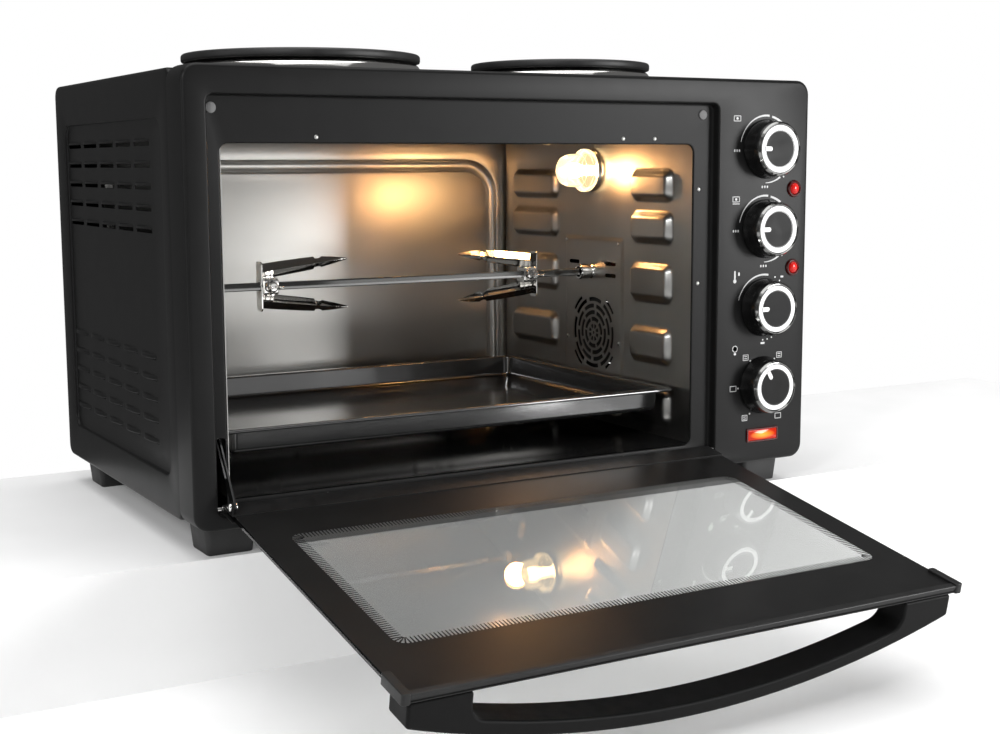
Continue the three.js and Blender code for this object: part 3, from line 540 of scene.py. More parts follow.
def side_panel(name, side):
    """A pressed side pan with a sunk field and rows of louvres, each a hood over a narrow opening."""
    bands = louvre_bands()
    half = LOUVRE_LENGTH / 2
    ys = sorted(c + half * v for c in LOUVRE_Y for v in
                [-1.03, *[sin(pi / 2 * i / 6) for i in range(-6, 7)], 1.03])
    zs = sorted({round(v, 4) for foot, edge, root in bands
                 for v in (foot - 0.5, foot, *[edge + (root - edge) * i / 5 for i in range(6)], root + 0.5)})
    inner = (ys[0] - 4, min(ys[-1] + 2, FIELD[1] - 2.5), zs[0] - 5, zs[-1] + 5, 0)
    deep = PANEL_X - FIELD_DEPTH

    def is_open(y0, y1, z0, z1):
        middle = (y0 + y1) / 2
        inside = min(abs(c - middle) for c in LOUVRE_Y) < half * 0.97
        return inside and any(abs(z0 - foot) < 1e-3 and abs(z1 - edge) < 1e-3 for foot, edge, _ in bands)

    bm = sheet_grid(lambda y, z: (deep + louvre_height(y, z, bands), y, z), [inner[0], *ys, inner[1]],
                    [inner[2], *zs, inner[3]], is_open)
    edge_round, fillet = 3.0, 1.3
    stations = [grown(PAN, 0, PANEL_X - PAN_DEPTH), *bend(PAN, 0, PANEL_X, -edge_round, -edge_round, 5),
                *bend(FIELD, 0, PANEL_X, fillet, -fillet, 3, True), *bend(FIELD, 0, deep, -fillet, fillet, 3),
                (*inner, deep)]
    shell(stations, "x", 5, ys, zs, bm=bm)
    if side < 0:
        for v in bm.verts:
            v.co.x = -v.co.x
    piece(name + "_pressing", bm, "black_paint", name, True, sheet=CASING_SHEET, sharp=40)


# ---- top and back ------------------------------------------------------------------------------
PLATE_Y = 172
PLATES = {"left": (-119, 98), "right": (134, 81)}
COVER_HALF, COVER_FRONT, COVER_REAR, COVER_TOP, COVER_SKIRT = 267.2, 32.3, 347.9, 349.6, 338
BACK_Y, BACK_FOOT = 349, 24
GLAND = (225, BACK_Y, 60)
VENTS = [(-200 + 60 * column, 250 + 16 * row) for row in range(4) for column in range(6)]
BACK_SCREWS = [(x, z) for x in (-257, 0, 257) for z in (33, 341)]


def top_cover():
    """The flat top sheet with folded front and rear edges."""
    turn = 1.2
    outline = [(COVER_FRONT, COVER_SKIRT), (COVER_FRONT, COVER_TOP - turn)]
    outline += [(COVER_FRONT + turn * (1 - cos(t)), COVER_TOP - turn * (1 - sin(t))) for t in arc_steps(3)]
    outline += [(COVER_REAR - turn * (1 - sin(t)), COVER_TOP - turn * (1 - cos(t))) for t in arc_steps(3)]
    outline += [(COVER_REAR, COVER_SKIRT)]
    holes = bmesh.new()
    for x, _ in PLATES.values():
        bore(12.4, COVER_TOP - 9.6, COVER_TOP + 10.4, "z", (x, PLATE_Y, 0), 32, holes)
    bm = skin([[(x, y, z) for y, z in outline] for x in (-COVER_HALF, COVER_HALF)], closed=False)
    piece("top_sheet", bm, "black_paint", "top_cover", True, sheet=CASING_SHEET, holes=holes)


def back_panel():
    """The flat back with its rows of vents, the cord's hole and six cross-head screws."""
    holes = bmesh.new()
    for x, z in VENTS:
        prism(rounded(x - 20, x + 20, z - 2, z + 2, 1.9, 4), BACK_Y - 2, BACK_Y + 1, "y", holes)
    bore(7, BACK_Y - 2, BACK_Y + 1, "y", (GLAND[0], 0, GLAND[2]), 32, holes)
    plate = prism(rounded(-COVER_HALF, COVER_HALF, BACK_FOOT, COVER_TOP, 3, 3), BACK_Y - 0.8, BACK_Y, "y")
    piece("back_sheet", plate, "black_paint", "back_panel", True, holes=holes)
    near, far, long, thin = BACK_Y + 0.8, BACK_Y + 3, 2.4, 0.5
    slits = bmesh.new()
    for x, z in BACK_SCREWS:
        block(x - long, x + long, near, far, z - thin, z + thin, slits)
        block(x - thin, x + thin, near, far, z - long, z - thin, slits)
        block(x - thin, x + thin, near, far, z + thin, z + long, slits)
    piece("back_screws", domes([(x, BACK_Y, z) for x, z in BACK_SCREWS], 3.4, 1.4, "y", 1, 24), "satin_steel",
          "back_panel", holes=slits)


# ---- oven cavity -------------------------------------------------------------------------------
LEFT, RIGHT, FRONT, REAR, FLOOR, ROOF = -250, 165, 10.5, 322, 42, 312
GROOVE = (-238, 153, 55, 285, 35)
GROOVE_WIDTH, GROOVE_DEPTH = 11, 4.5
BULGE_COLUMNS = [(38, 100), (220, 304)]
BULGE_ROWS = [(53, 85), (106, 139), (160, 195), (211, 240), (248, 276)]
BULGE_DEPTH, BULGE_CORNER, BULGE_SLOPE = 5.8, 9.0, 6.5
FIELD_Y, FIELD_Z, FIELD_RISE = (112, 208), (66, 214), 1.2
FAN_Y, FAN_Z, SPIT_Y, SPIT_Z, LAMP_Y, LAMP_Z = 159, 125, 163.5, 182, 166, 275
# middle radius of a ring of slots, number of its webs, turn in degrees
GRILLE_RINGS, GRILLE_HALF = ((12.6, 6, 10), (18.8, 6, 40), (25, 8, 5), (31.2, 8, 27)), 1.9
GRILLE_CORNERS, CORNER_IN, CORNER_OUT = (32, 122, 212, 302), 35.6, 38.6
WALL_SLOTS = ((192, 189.8), (131.8, 190.2), (131.8, 179.4))
WALL_SCREWS = ((206, 210), (120, 208.9), (203.2, 118), (118.3, 118))
WALL_SHEET = 0.6
RODS = {"heater_upper_front": (112, 305), "heater_upper_rear": (238, 305), "heater_lower_front": (118, 58),
        "heater_lower_rear": (232, 58)}


def smooth_step(t):
    t = min(max(t, 0.0), 1.0)
    return t * t * (3 - 2 * t)


def bulge_height(y, z):
    """How far the wall is pressed inwards: ledges for the tray and rack, and a low panel between them."""
    best = 0.0
    for y0, y1 in BULGE_COLUMNS:
        for z0, z1 in BULGE_ROWS:
            dy, dz = min(y - y0, y1 - y), min(z - z0, z1 - z)
            if dy <= 0 or dz <= 0:
                continue
            if dy < BULGE_CORNER and dz < BULGE_CORNER:
                d = BULGE_CORNER - hypot(BULGE_CORNER - dy, BULGE_CORNER - dz)
            else:
                d = min(dy, dz)
            best = max(best, BULGE_DEPTH * smooth_step(d / BULGE_SLOPE))
    dy, dz = min(y - FIELD_Y[0], FIELD_Y[1] - y), min(z - FIELD_Z[0], FIELD_Z[1] - z)
    if best == 0 and dy > 0 and dz > 0:
        best = FIELD_RISE * smooth_step(min(dy, dz) / 3)
    return best


def dense(start, end, edges, reach=8, step=1.6, coarse=9):
    """Grid lines from start to end, close together near the edges."""
    lines = {round(start, 3), round(end, 3)}
    for edge in edges:
        n = int(reach / step)
        lines |= {round(edge + step * i, 3) for i in range(-n, n + 1) if start < edge + step * i < end}
    value = start
    while value < end:
        if min(abs(value - line) for line in lines) > coarse * 0.6:
            lines.add(round(value, 3))
        value += coarse / 2
    kept = []
    for line in sorted(lines):
        if not kept or line - kept[-1] > step * 0.45:
            kept.append(line)
    kept[-1] = end
    return kept


def arc_slot(bm, inner, outer, start, end, x0, x1):
    """A curved slot of the fan grille, as a solid to cut with."""
    count = max(4, int((end - start) / 6))
    angles = [radians(start + (end - start) * i / count) for i in range(count + 1)]
    outline = [(FAN_Y + outer * cos(t), FAN_Z + outer * sin(t)) for t in angles]
    outline += [(FAN_Y + inner * cos(t), FAN_Z + inner * sin(t)) for t in reversed(angles)]
    prism(outline, x0, x1, "x", bm)


def grille_cutter(x):
    """The fan's openings, the small slots above it, and the holes of spit and lamp."""
    x0, x1 = x - 9, x + 3
    bm = bore(1.5, x0, x1, "x", (0, FAN_Y, FAN_Z), 12)
    for i in range(8):
        arc_slot(bm, 4, 8, 45 * i + 7, 45 * i + 38, x0, x1)
    for radius, webs, turn in GRILLE_RINGS:
        span = 360 / webs
        for i in range(webs):
            start = turn + span * i
            arc_slot(bm, radius - GRILLE_HALF, radius + GRILLE_HALF, start + 4, start + span - 4, x0, x1)
    for start in GRILLE_CORNERS:
        arc_slot(bm, CORNER_IN, CORNER_OUT, start, start + 26, x0, x1)
    for y, z in WALL_SLOTS:
        prism(rounded(y - 8.7, y + 8.7, z - 1.8, z + 1.8, 1.6, 4), x0, x1, "x", bm)
    bore(5, x0, x1, "x", (0, SPIT_Y, SPIT_Z), 24, bm)
    return bore(16.5, x0, x1, "x", (0, LAMP_Y, LAMP_Z), 40, bm)


def cavity_side(name, x, inward, cutter):
    """A side wall of the cavity, pressed into ledges with round edges."""
    ys = dense(FRONT, REAR - 0.3, [v for c in BULGE_COLUMNS for v in c] + list(FIELD_Y))
    zs = dense(FLOOR + 1, ROOF - 0.3, [v for r in BULGE_ROWS for v in r])
    for y, z in RODS.values():
        bore(3.6, x - 9, x + 3, "x", (0, y, z), 20, cutter)
    piece(name + "_pressing", sheet_grid(lambda y, z: (x + inward * bulge_height(y, z), y, z), ys, zs),
          "wall_steel", name, True, sheet=WALL_SHEET, holes=cutter, sharp=50)


def cavity_back():
    """The back wall with its pressed channel."""
    outer = (LEFT - 0.7, RIGHT + 0.7, FLOOR, ROOF + 0.7, 0.5)
    fillet, half = 1.4, GROOVE_WIDTH / 2
    bow = [pi * (0.1 + 0.8 * i / 8) for i in range(9)]
    stations = [grown(outer, 0, REAR), *bend(GROOVE, 0, REAR, fillet, fillet, 3, True),
                *[grown(GROOVE, -half + half * cos(t), REAR + fillet + GROOVE_DEPTH * sin(t)) for t in bow],
                *bend(GROOVE, -GROOVE_WIDTH, REAR, -fillet, fillet, 3)]
    piece("cavity_back_wall_pressing", shell(stations, "y", 14, caps=(-1,)), "back_steel",
          "cavity_back_wall", True, sheet=-WALL_SHEET, sharp=50)


def cavity():
    """The side and back walls, the heating rods with their collars, and the fan panel's screws."""
    cavity_side("cavity_right_wall", RIGHT, -1, grille_cutter(RIGHT))
    cavity_side("cavity_left_wall", LEFT, 1, bmesh.new())
    cavity_back()
    for name, (y, z) in RODS.items():
        rod = lathe([(0, -263), (3, -263), (3.3, -262), (3.3, 177), (3, 178), (0, 178)], "x", (0, y, z), 24)
        piece(name + "_rod", rod, "heater_steel", name, True)
        ends = bmesh.new()
        for x0, x1 in ((LEFT, LEFT + 7), (RIGHT - 7, RIGHT)):
            lathe([(3.35, x0), (6, x0), (6, x1 - 1), (5, x1), (3.35, x1)], "x", (0, y, z), 24, bm=ends)
        piece(name + "_collars", ends, "ceramic", name)
    places = [(RIGHT - (FIELD_RISE if FIELD_Y[0] < y < FIELD_Y[1] else 0), y, z) for y, z in WALL_SCREWS]
    piece("wall_screws", domes(places, 2.2, 1.0, "x", -1), "chrome", "cavity_right_wall")


def cavity_roof():
    """The roof with its shallow ribs."""
    count, ribs = 60, []
    for i in range(count + 1):
        y = FRONT + (REAR - 0.3 - FRONT) * i / count
        ribs.append((y, ROOF + 0.1 + 0.5 * (0.5 - 0.5 * cos(2 * pi * 8 * i / count))))
    bm = skin([[(x, y, z) for y, z in ribs] for x in (LEFT, RIGHT)], closed=False)
    piece("roof_sheet", bm, "wall_steel", "cavity_roof", True, sharp=60)


def cavity_floor():
    """The enamelled floor with a slightly raised rim."""
    rim = (LEFT + 0.3, RIGHT - 0.3, FRONT, REAR - 0.4, 2)
    stations = [grown(rim, d, h) for d, h in ((0, 42.9), (-3, 42.6), (-14, 42.1), (-22, 42.1))]
    bm = shell(stations, "z", 3, least=2, caps=(-1,))
    piece("floor_sheet", bm, "enamel", "cavity_floor", True, sharp=60)


# ---- lamp --------------------------------------------------------------------------------------
def lamp():
    """A ring, a stepped glass cover and a small bulb on the right wall."""
    centre = (RIGHT, LAMP_Y, LAMP_Z)
    ring = [(15.6, -5), (18.4, -5), (19.4, -4.2), (19.8, -2.6), (20, -1.6), (15.6, -1.6)]
    piece("lamp_ring", lathe(ring, "x", centre, 64), "chrome", "lamp_holder", True)
    outside = [(19.4, -5.4), (19.8, -7.5), (19.4, -10), (18.0, -11.6), (16.2, -12.8), (15.0, -14.6),
               (15.2, -17), (14.9, -23), (14.2, -27), (12.4, -31), (9, -33.6), (4.5, -35), (0, -35.4)]
    inside = [(max(r - 1.3, 0), h + (1.3 if r < 12 else 0)) for r, h in reversed(outside)]
    piece("lamp_cover", lathe(outside + inside, "x", centre, 64), "lamp_glass", "lamp_glass", True, sharp=30)
    bulb = [(0, -27.5), (3.4, -26.8), (5.8, -24.6), (7.2, -21.4), (7.2, -17.6), (5.6, -13), (4.6, -9),
            (4.6, 13), (0, 13)]
    piece("lamp_bulb_lit", lathe(bulb, "x", centre, 40, False), "filament", "lamp_bulb", True, sharp=60)


# ---- spit and forks ----------------------------------------------------------------------------
SPIT_SIDE, SPIT_HOLE = 6.4, 3.4


def spit():
    """A square bar with a round point at the left, a cup on the right wall and a rest on the left one."""
    h = SPIT_SIDE / 2
    centre = (0, SPIT_Y, SPIT_Z)
    square = (SPIT_Y - h, SPIT_Y + h, SPIT_Z - h, SPIT_Z + h, 0.7)
    stations = [grown(square, d, x) for d, x in ((-1.2, 157), (0, 156), (0, -231), (-1.2, -233))]
    # the bar's chrome is darkened as painted shade; its round point keeps plain chrome
    piece("spit_bar", shell(stations, "x", 3, least=0.3, caps=(0, -1)), "chrome_painted_shade", "spit_rod", True)
    tip = lathe([(0, -247), (1.2, -246.6), (2.1, -245.4), (2.2, -232), (0, -232)], "x", centre, 24, False)
    piece("spit_tip", tip, "chrome", "spit_rod")
    cup = [(4.9, 149.2), (6.4, 149.2), (7, 150), (7, 158), (6.2, 159.4), (6.2, 161), (7, 162), (7, 164.5),
           (4.9, 164.5)]
    piece("socket_cup", lathe(cup, "x", centre, 40), "chrome", "spit_socket", True)
    notch, wide, top, foot_z = 2.7, 9.5, SPIT_Z + 4, SPIT_Z - 14
    outline = [(SPIT_Y + wide, foot_z), (SPIT_Y + wide, top), (SPIT_Y + notch, top)]
    outline += [(SPIT_Y + notch * cos(t), SPIT_Z - notch * sin(t)) for t in
                [pi * i / 10 for i in range(11)]]
    outline += [(SPIT_Y - notch, top), (SPIT_Y - wide, top), (SPIT_Y - wide, foot_z)]
    rest = prism(outline, -245, -243.5, "x")
    for side in (-10, 10):
        block(-249.6, -241, SPIT_Y + side - 0.8, SPIT_Y + side + 0.8, foot_z - 2, top, rest)
    piece("spit_rest", rest, "satin_steel", "spit_support", True, bevel=0.35)


# distance along the prong from the fork's middle, offset from the spit, half width of the folded sheet
PRONG_STATIONS = [(-7, 11.8, 6.2), (0, 12.6, 6.4), (14, 14.3, 6.2), (30, 16.2, 5.8), (42, 17.6, 5.3),
                  (43, 17.7, 3.8), (45.5, 18.0, 3.4), (48, 18.3, 3.8), (49, 18.4, 4.6), (60, 19.5, 3.0),
                  (71.6, 20.4, 0.7)]
FORK_SHEET = 1.1
# place along the spit and growth of the hub's section
HUB_RIBS = ((-6.1, -0.8), (-5.2, 0), (-2.6, 0), (-2.0, -0.7), (-1.2, -0.7), (-0.6, 0), (2.2, 0), (2.8, -0.7),
            (3.6, -0.7), (4.2, 0), (6.4, 0), (7.2, -0.8))
SCREW_STEM = [(0, 3.6), (2.5, 3.6), (2.5, 7.2), (4.6, 7.4), (5.0, 8.2), (4.6, 9.2), (3.2, 9.8), (3.0, 11.4),
              (4.2, 12.4), (4.2, 13.4), (3.0, 14.2), (0, 14.4)]
SCREW_WING = ((1.5, 12), (3.0, 12.2), (4.6, 13.4), (6.0, 15.2), (6.5, 17.6), (6.1, 19.8), (4.9, 21),
              (3.4, 20.8), (2.4, 19.2), (2.0, 16.6), (1.4, 14.6))


def prong(bm, x, direction, sign):
    """A prong folded along its length, its fold towards the front, notched before its point."""
    loops = []
    for distance, offset, wing in PRONG_STATIONS:
        z = SPIT_Z + sign * offset
        fold, rim = SPIT_Y - 0.6 * wing, SPIT_Y + 0.4 * wing
        inner = max(wing - 0.9 * FORK_SHEET, 0.1)
        section = ((fold, z), (rim, z + wing), (rim + 0.8 * FORK_SHEET, z + inner),
                   (fold + 1.5 * FORK_SHEET, z), (rim + 0.8 * FORK_SHEET, z - inner), (rim, z - wing))
        loops.append([(x + direction * distance, y, v) for y, v in section])
    skin(loops, caps=(0, -1), bm=bm)


def fork(name, x, direction):
    """Two folded prongs on a yoke plate, a square hub with ribs, and a wing screw at the front."""
    def spit_hole(x0, x1):
        return block(x0, x1, SPIT_Y - SPIT_HOLE, SPIT_Y + SPIT_HOLE, SPIT_Z - SPIT_HOLE, SPIT_Z + SPIT_HOLE)

    prongs = bmesh.new()
    for sign in (-1, 1):
        prong(prongs, x, direction, sign)
    piece(name + "_prongs", prongs, "bright_chrome", name, True, bevel=0.25, sharp=25)
    x0, x1 = sorted((x - direction * 7.4, x - direction * 6.2))
    yoke = prism(rounded(SPIT_Y - 5.4, SPIT_Y + 6.4, SPIT_Z - 20.6, SPIT_Z + 20.6, 3), x0, x1, "x")
    piece(name + "_yoke", yoke, "bright_chrome", name, bevel=0.3, holes=spit_hole(x0 - 1, x1 + 1))
    square = (SPIT_Y - 7, SPIT_Y + 7, SPIT_Z - 7, SPIT_Z + 7, 2.4)
    hub = shell([grown(square, d, x + direction * edge) for edge, d in HUB_RIBS], "x", 4, caps=(0, -1))
    piece(name + "_hub", hub, "bright_chrome", name, holes=spit_hole(x - 9, x + 9), sharp=30)
    stem = lathe([(r, -h) for r, h in SCREW_STEM], "y", (x, SPIT_Y, SPIT_Z), 28, False)
    piece(name + "_screw_stem", stem, "bright_chrome", name + "_screw", True, sharp=30)
    wings = bmesh.new()
    for side in (-1, 1):
        prism([(x + side * a, SPIT_Y - b) for a, b in SCREW_WING], SPIT_Z - 1.1, SPIT_Z + 1.1, "z", wings)
    piece(name + "_screw_wings", wings, "bright_chrome", name + "_screw", bevel=0.5, segments=3)


# ---- baking tray -------------------------------------------------------------------------------
TRAY = (-248.4, 160.8, 29, 305, 5)
TRAY_RIM, TRAY_DEPTH, TRAY_FLANGE, TRAY_CURL, TRAY_SHEET = 89, 20, 8, 1.3, 0.9


def tray():
    """An enamelled pan: rolled rim, sloping walls and a flat floor with a soft corner all round."""
    rim, bottom, curl = TRAY_RIM, TRAY_RIM - TRAY_DEPTH, TRAY_CURL
    pit = (*grown(TRAY, -TRAY_FLANGE, rim)[:4], 9)
    stations = [grown(TRAY, 1.0 - TRAY_FLANGE, rim - 1.6), grown(TRAY, -3, rim - 1.9),
                grown(TRAY, -3, rim - 3), grown(TRAY, -1.6, rim - 3),
                *bend(TRAY, 0, rim - 3, -curl, curl, 4, True),
                *bend(TRAY, 0, rim, -curl, -curl, 4), *bend(pit, -1.5, rim, 1.5, -1.5, 4, True),
                *bend(pit, -3.2, bottom + 1, -3.4, 3.4, 5), grown(pit, -40, bottom + 1.0),
                grown(pit, -44, bottom + 1.5), grown(pit, -60, bottom + 1.5)]
    piece("tray_pan", shell(stations, "z", 7, least=1.0, caps=(-1,)), "enamel", "baking_tray", True,
          sheet=TRAY_SHEET, sharp=50)


# ---- controls ----------------------------------------------------------------------------------
POINTER_AT = {"knob_1": 270, "knob_2": 270, "knob_3": 270, "knob_4": 330}
PRINT_ROOT, PRINT_TOP = 0.05, -0.14


def clock(cx, cz, radius, degrees):
    """A point round a dial, by degrees clockwise from its top."""
    t = radians(degrees)
    return cx + radius * sin(t), cz + radius * cos(t)


def arc_mark(bm, cx, cz, radius, start, end, width0, width1):
    """A curved line of print whose width goes from width0 to width1."""
    count = max(3, int(abs(end - start) / 4))
    outer, inner = [], []
    for i in range(count + 1):
        f = i / count
        half = (width0 + (width1 - width0) * f) / 2
        angle = start + (end - start) * f
        outer.append(clock(cx, cz, radius + half, angle))
        inner.append(clock(cx, cz, radius - half, angle))
    prism(outer + inner[::-1], PRINT_ROOT, PRINT_TOP, "y", bm)


def bar_mark(bm, x, z, width, height):
    prism(rounded(x - width / 2, x + width / 2, z - height / 2, z + height / 2, min(width, height) * 0.3, 2),
          PRINT_ROOT, PRINT_TOP, "y", bm)


def box_mark(bm, x, z, width, height, line=0.55):
    """The outline of a small rectangle, in print."""
    for dz in (-1, 1):
        bar_mark(bm, x, z + dz * (height - line) / 2, width, line)
    for dx in (-1, 1):
        bar_mark(bm, x + dx * (width - line) / 2, z, line, height)


def dot_mark(bm, x, z, radius=0.8):
    prism([clock(x, z, radius, a) for a in range(0, 360, 30)], PRINT_ROOT, PRINT_TOP, "y", bm)


def panel_print():
    """Scales and small plain signs round the four knobs, with short bars in place of words."""
    bm = bmesh.new()
    for z in (KNOB_Z["knob_1"], KNOB_Z["knob_2"]):
        arc_mark(bm, KNOB_X, z, 28.2, 282, 366, 0.5, 1.7)
        arc_mark(bm, KNOB_X, z, 27.8, 372, 397, 1.7, 2.0)
        arc_mark(bm, KNOB_X, z, 28.6, 146, 180, 1.6, 0.5)
        dot_mark(bm, *clock(KNOB_X, z, 30.6, 140))
        for i in range(3):
            bar_mark(bm, 198.9 + 2.5 * i, z - 1.4, 1.3, 2.0)
            bar_mark(bm, 229.4 + 2.8 * i, z - 32, 1.4, 2.0)
        box_mark(bm, 201.3, z + 25.4, 7.6, 4.8)
        dot_mark(bm, 201.3, z + 25.4, 1.1)
    bar_mark(bm, 201.3, KNOB_Z["knob_2"] + 21.6, 7.6, 0.6)
    z = KNOB_Z["knob_3"]
    arc_mark(bm, KNOB_X, z, 28.2, 285, 370, 0.5, 1.7)
    for angle in (386, 398, 410, 422, 434):
        dot_mark(bm, *clock(KNOB_X, z, 28.4, angle))
    for angle in (398, 428):
        bar_mark(bm, *clock(KNOB_X, z, 32.6, angle), 3.2, 1.6)
    for angle in (150, 160, 170, 180):
        dot_mark(bm, *clock(KNOB_X, z, 28.4, angle), 0.7)
    bar_mark(bm, 232.9, z - 31.2, 4.4, 1.8)
    bar_mark(bm, 201.2, z + 28.4, 1.5, 8)
    dot_mark(bm, 201.2, z + 23.6, 1.7)
    bar_mark(bm, 205.6, z + 29.6, 1.6, 3.0)
    z = KNOB_Z["knob_4"]
    arc_mark(bm, 202.6, z + 33, 2.6, 0, 360, 0.6, 0.6)
    bar_mark(bm, 202.6, z + 28.6, 2.4, 1.8)
    for x, dz in ((214.5, 24.8), (251.6, 25.1), (214.4, -27.9)):
        box_mark(bm, x, z + dz, 6, 5.2)
        bar_mark(bm, x, z + dz + 0.9, 3.2, 0.6)
        bar_mark(bm, x, z + dz - 0.9, 3.2, 0.6)
    for x, dz in ((201.2, -1.4), (251.7, -28.8)):
        box_mark(bm, x, z + dz, 7, 5)
    for x, dz in ((219.6, 21.6), (246.4, 21.8), (206.6, -1.4), (219.8, -24.6), (246.2, -24.8)):
        dot_mark(bm, x, z + dz)
    piece("panel_print", bm, "print_white", "front_frame", sharp=80)


# radius and height from the panel, minus towards the front
KNOB_BODY = [(0, -17.9), (20.0, -17.9), (20.3, -18.2), (20.3, -17.0), (22.3, -16.6), (22.9, -15.8),
             (23.4, -10), (24.4, -3), (25, -1.8), (25, -1.0), (24.6, -0.7), (4.8, -0.7), (4.8, 8), (0, 8)]
KNOB_RIM = [(20.3, -18.4), (20.9, -19), (21.3, -18.9), (22.7, -17.0), (22.8, -16.5), (20.3, -16.9)]
KNOB_RING = [(15.9, -17.8), (15.9, -18.2), (19.7, -18.2), (19.7, -17.8)]
KNOB_FACE = [(0, -17.95), (14.9, -17.95), (14.9, -18.05), (0, -18.05)]
# distance from the knob's middle and half width of its pointer line
POINTER = ((16.6, 1.9), (10, 1.9), (8.8, 1.425), (8.2, 0), (8.8, -1.425), (10, -1.9), (16.6, -1.9))


def knob(name):
    """A tall plain knob: flared skirt, a bright chamfer, a flat face with a white ring and a pointer line."""
    centre = (KNOB_X, 0, KNOB_Z[name])
    piece(name + "_body", lathe(KNOB_BODY, "y", centre, 96, False), "knob_black", name, True, sharp=32)
    # the rim's chrome is darkened as painted shade
    piece(name + "_rim", lathe(KNOB_RIM, "y", centre, 96), "chrome_painted_shade", name, sharp=25)
    ring = lathe(KNOB_RING, "y", centre, 96)
    ax, az = clock(0, 0, 1, POINTER_AT[name])
    line = [(KNOB_X + ax * r + az * w, centre[2] + az * r - ax * w) for r, w in POINTER]
    prism(line, -17.8, -18.2, "y", ring)
    piece(name + "_print", ring, "ring_white", name, sharp=40)
    piece(name + "_face", lathe(KNOB_FACE, "y", centre, 64, False), "knob_face", name, sharp=40)


JEWEL = [(0, -3.4), (1.6, -3.3), (3.0, -2.9), (4.2, -2.2), (4.9, -1.2), (5.0, 4), (0, 4)]
JEWEL_BEZEL = [(5.1, -1.9), (5.6, -2.2), (6.6, -1.9), (7.3, -0.8), (7.4, -0.05), (6.2, 0.6), (5.1, 0.6)]
# inset from the power lens's outline, corner radius, height
POWER_BEZEL = ((0, 1.6, 0.4), (0, 1.6, -0.9), (0.5, 1.3, -1.5), (1.4, 0.8, -1.5), (1.6, 0.7, -1.1),
               (1.6, 0.7, 0.4))
POWER_WINDOW = ((1.7, 0.7, 4), (1.7, 0.7, -1.0), (2.3, 0.6, -1.5))


def lenses():
    """Two round red jewels in bezels, and the long amber window."""
    for name, z in LENS_Z.items():
        centre = (LENS_X, 0, z)
        piece(name + "_jewel", lathe(JEWEL, "y", centre, 40, False), "red_lens", name, True, sharp=40)
        piece(name + "_bezel", lathe(JEWEL_BEZEL, "y", centre, 40), "red_bezel", name, sharp=40)
    x0, x1, z0, z1 = POWER
    rim, window = [[(x0 + d, x1 - d, z0 + d, z1 - d, r, h) for d, r, h in rows]
                   for rows in (POWER_BEZEL, POWER_WINDOW)]
    piece("power_lens_bezel", shell(rim, "y", 4, joined=True), "red_bezel", "power_lens", sharp=40)
    piece("power_lens_window", shell(window, "y", 4, caps=(0, -1)), "amber_lens", "power_lens", True,
          sharp=40)


# ---- hotplates ---------------------------------------------------------------------------------
PLATE_TOP, PLATE_THICK, PLATE_EDGE, TRIM_TOP, TRIM_BASE = 370.5, 6.8, 2.4, 362, 349.9
TURNED_PITCH, TURNED_DEPTH = 3.2, 0.25


def hotplates():
    """Cast plates with a round rim and fine turned rings, over stepped bright trims."""
    low, base = PLATE_TOP - PLATE_THICK, TRIM_BASE
    for side, (x, r) in PLATES.items():
        centre = (x, PLATE_Y, 0)
        profile = [(0, TRIM_TOP + 0.9), (20, TRIM_TOP + 0.9), (20.4, low), (r - 1.8, low),
                   (r - 0.5, low + 0.5), (r, low + 1.8)]
        profile += [(r - PLATE_EDGE * (1 - cos(t)), PLATE_TOP - PLATE_EDGE * (1 - sin(t)))
                    for t in arc_steps(4)]
        radius = r - 4
        while radius > 30:
            profile += [(radius, PLATE_TOP), (radius - 0.4, PLATE_TOP - TURNED_DEPTH),
                        (radius - 1.0, PLATE_TOP - TURNED_DEPTH), (radius - 1.4, PLATE_TOP)]
            radius -= TURNED_PITCH
        profile += [(27, PLATE_TOP), (24.6, PLATE_TOP - 0.6), (23, PLATE_TOP - 1.6), (0, PLATE_TOP - 1.6)]
        piece(f"hotplate_{side}_cast", lathe(profile, "z", centre, 128, False), "cast_iron",
              f"hotplate_{side}", True, sharp=50)
        outside = [(0, base), (r + 3, base), (r + 2.6, base + 1.0), (r + 1.4, base + 5.4), (r, base + 9.0),
                   (r - 1.6, TRIM_TOP - 0.8), (r - 2.8, TRIM_TOP), (r - 4.4, TRIM_TOP - 0.4),
                   (r - 6.2, base + 4), (r - 8, base + 1.4), (14, base + 1.4), (13.6, TRIM_TOP + 0.1),
                   (0, TRIM_TOP + 0.1)]
        trim = lathe(outside, "z", centre, 128, False)
        stud = [(0, base - 8), (11.6, base - 8), (12, base - 7.6), (12, base - 0.05), (0, base - 0.05)]
        lathe(stud, "z", centre, 40, False, trim)
        piece(f"hotplate_{side}_trim_ring", trim, "chrome", f"hotplate_trim_{side}", True, sharp=40)


# ---- door --------------------------------------------------------------------------------------
DOOR_LEFT, DOOR_RIGHT, DOOR_LENGTH, DOOR_INNER, DOOR_OUTER = -258, 178, 290.5, 2.4, -3.4
PANE = (-257, 177, -288.5, -2.5, 2)
PANE_TOP, PANE_UNDER = 1.5, -2.5
WINDOW = (-233, 153, -233, -61, 9)
FRIT_LENGTH, FRIT_PITCH, FRIT_LINE = 7.5, 2.7, 1.35
LINK_X, LINK_PIVOT = -255.8, (-14, 6.7)


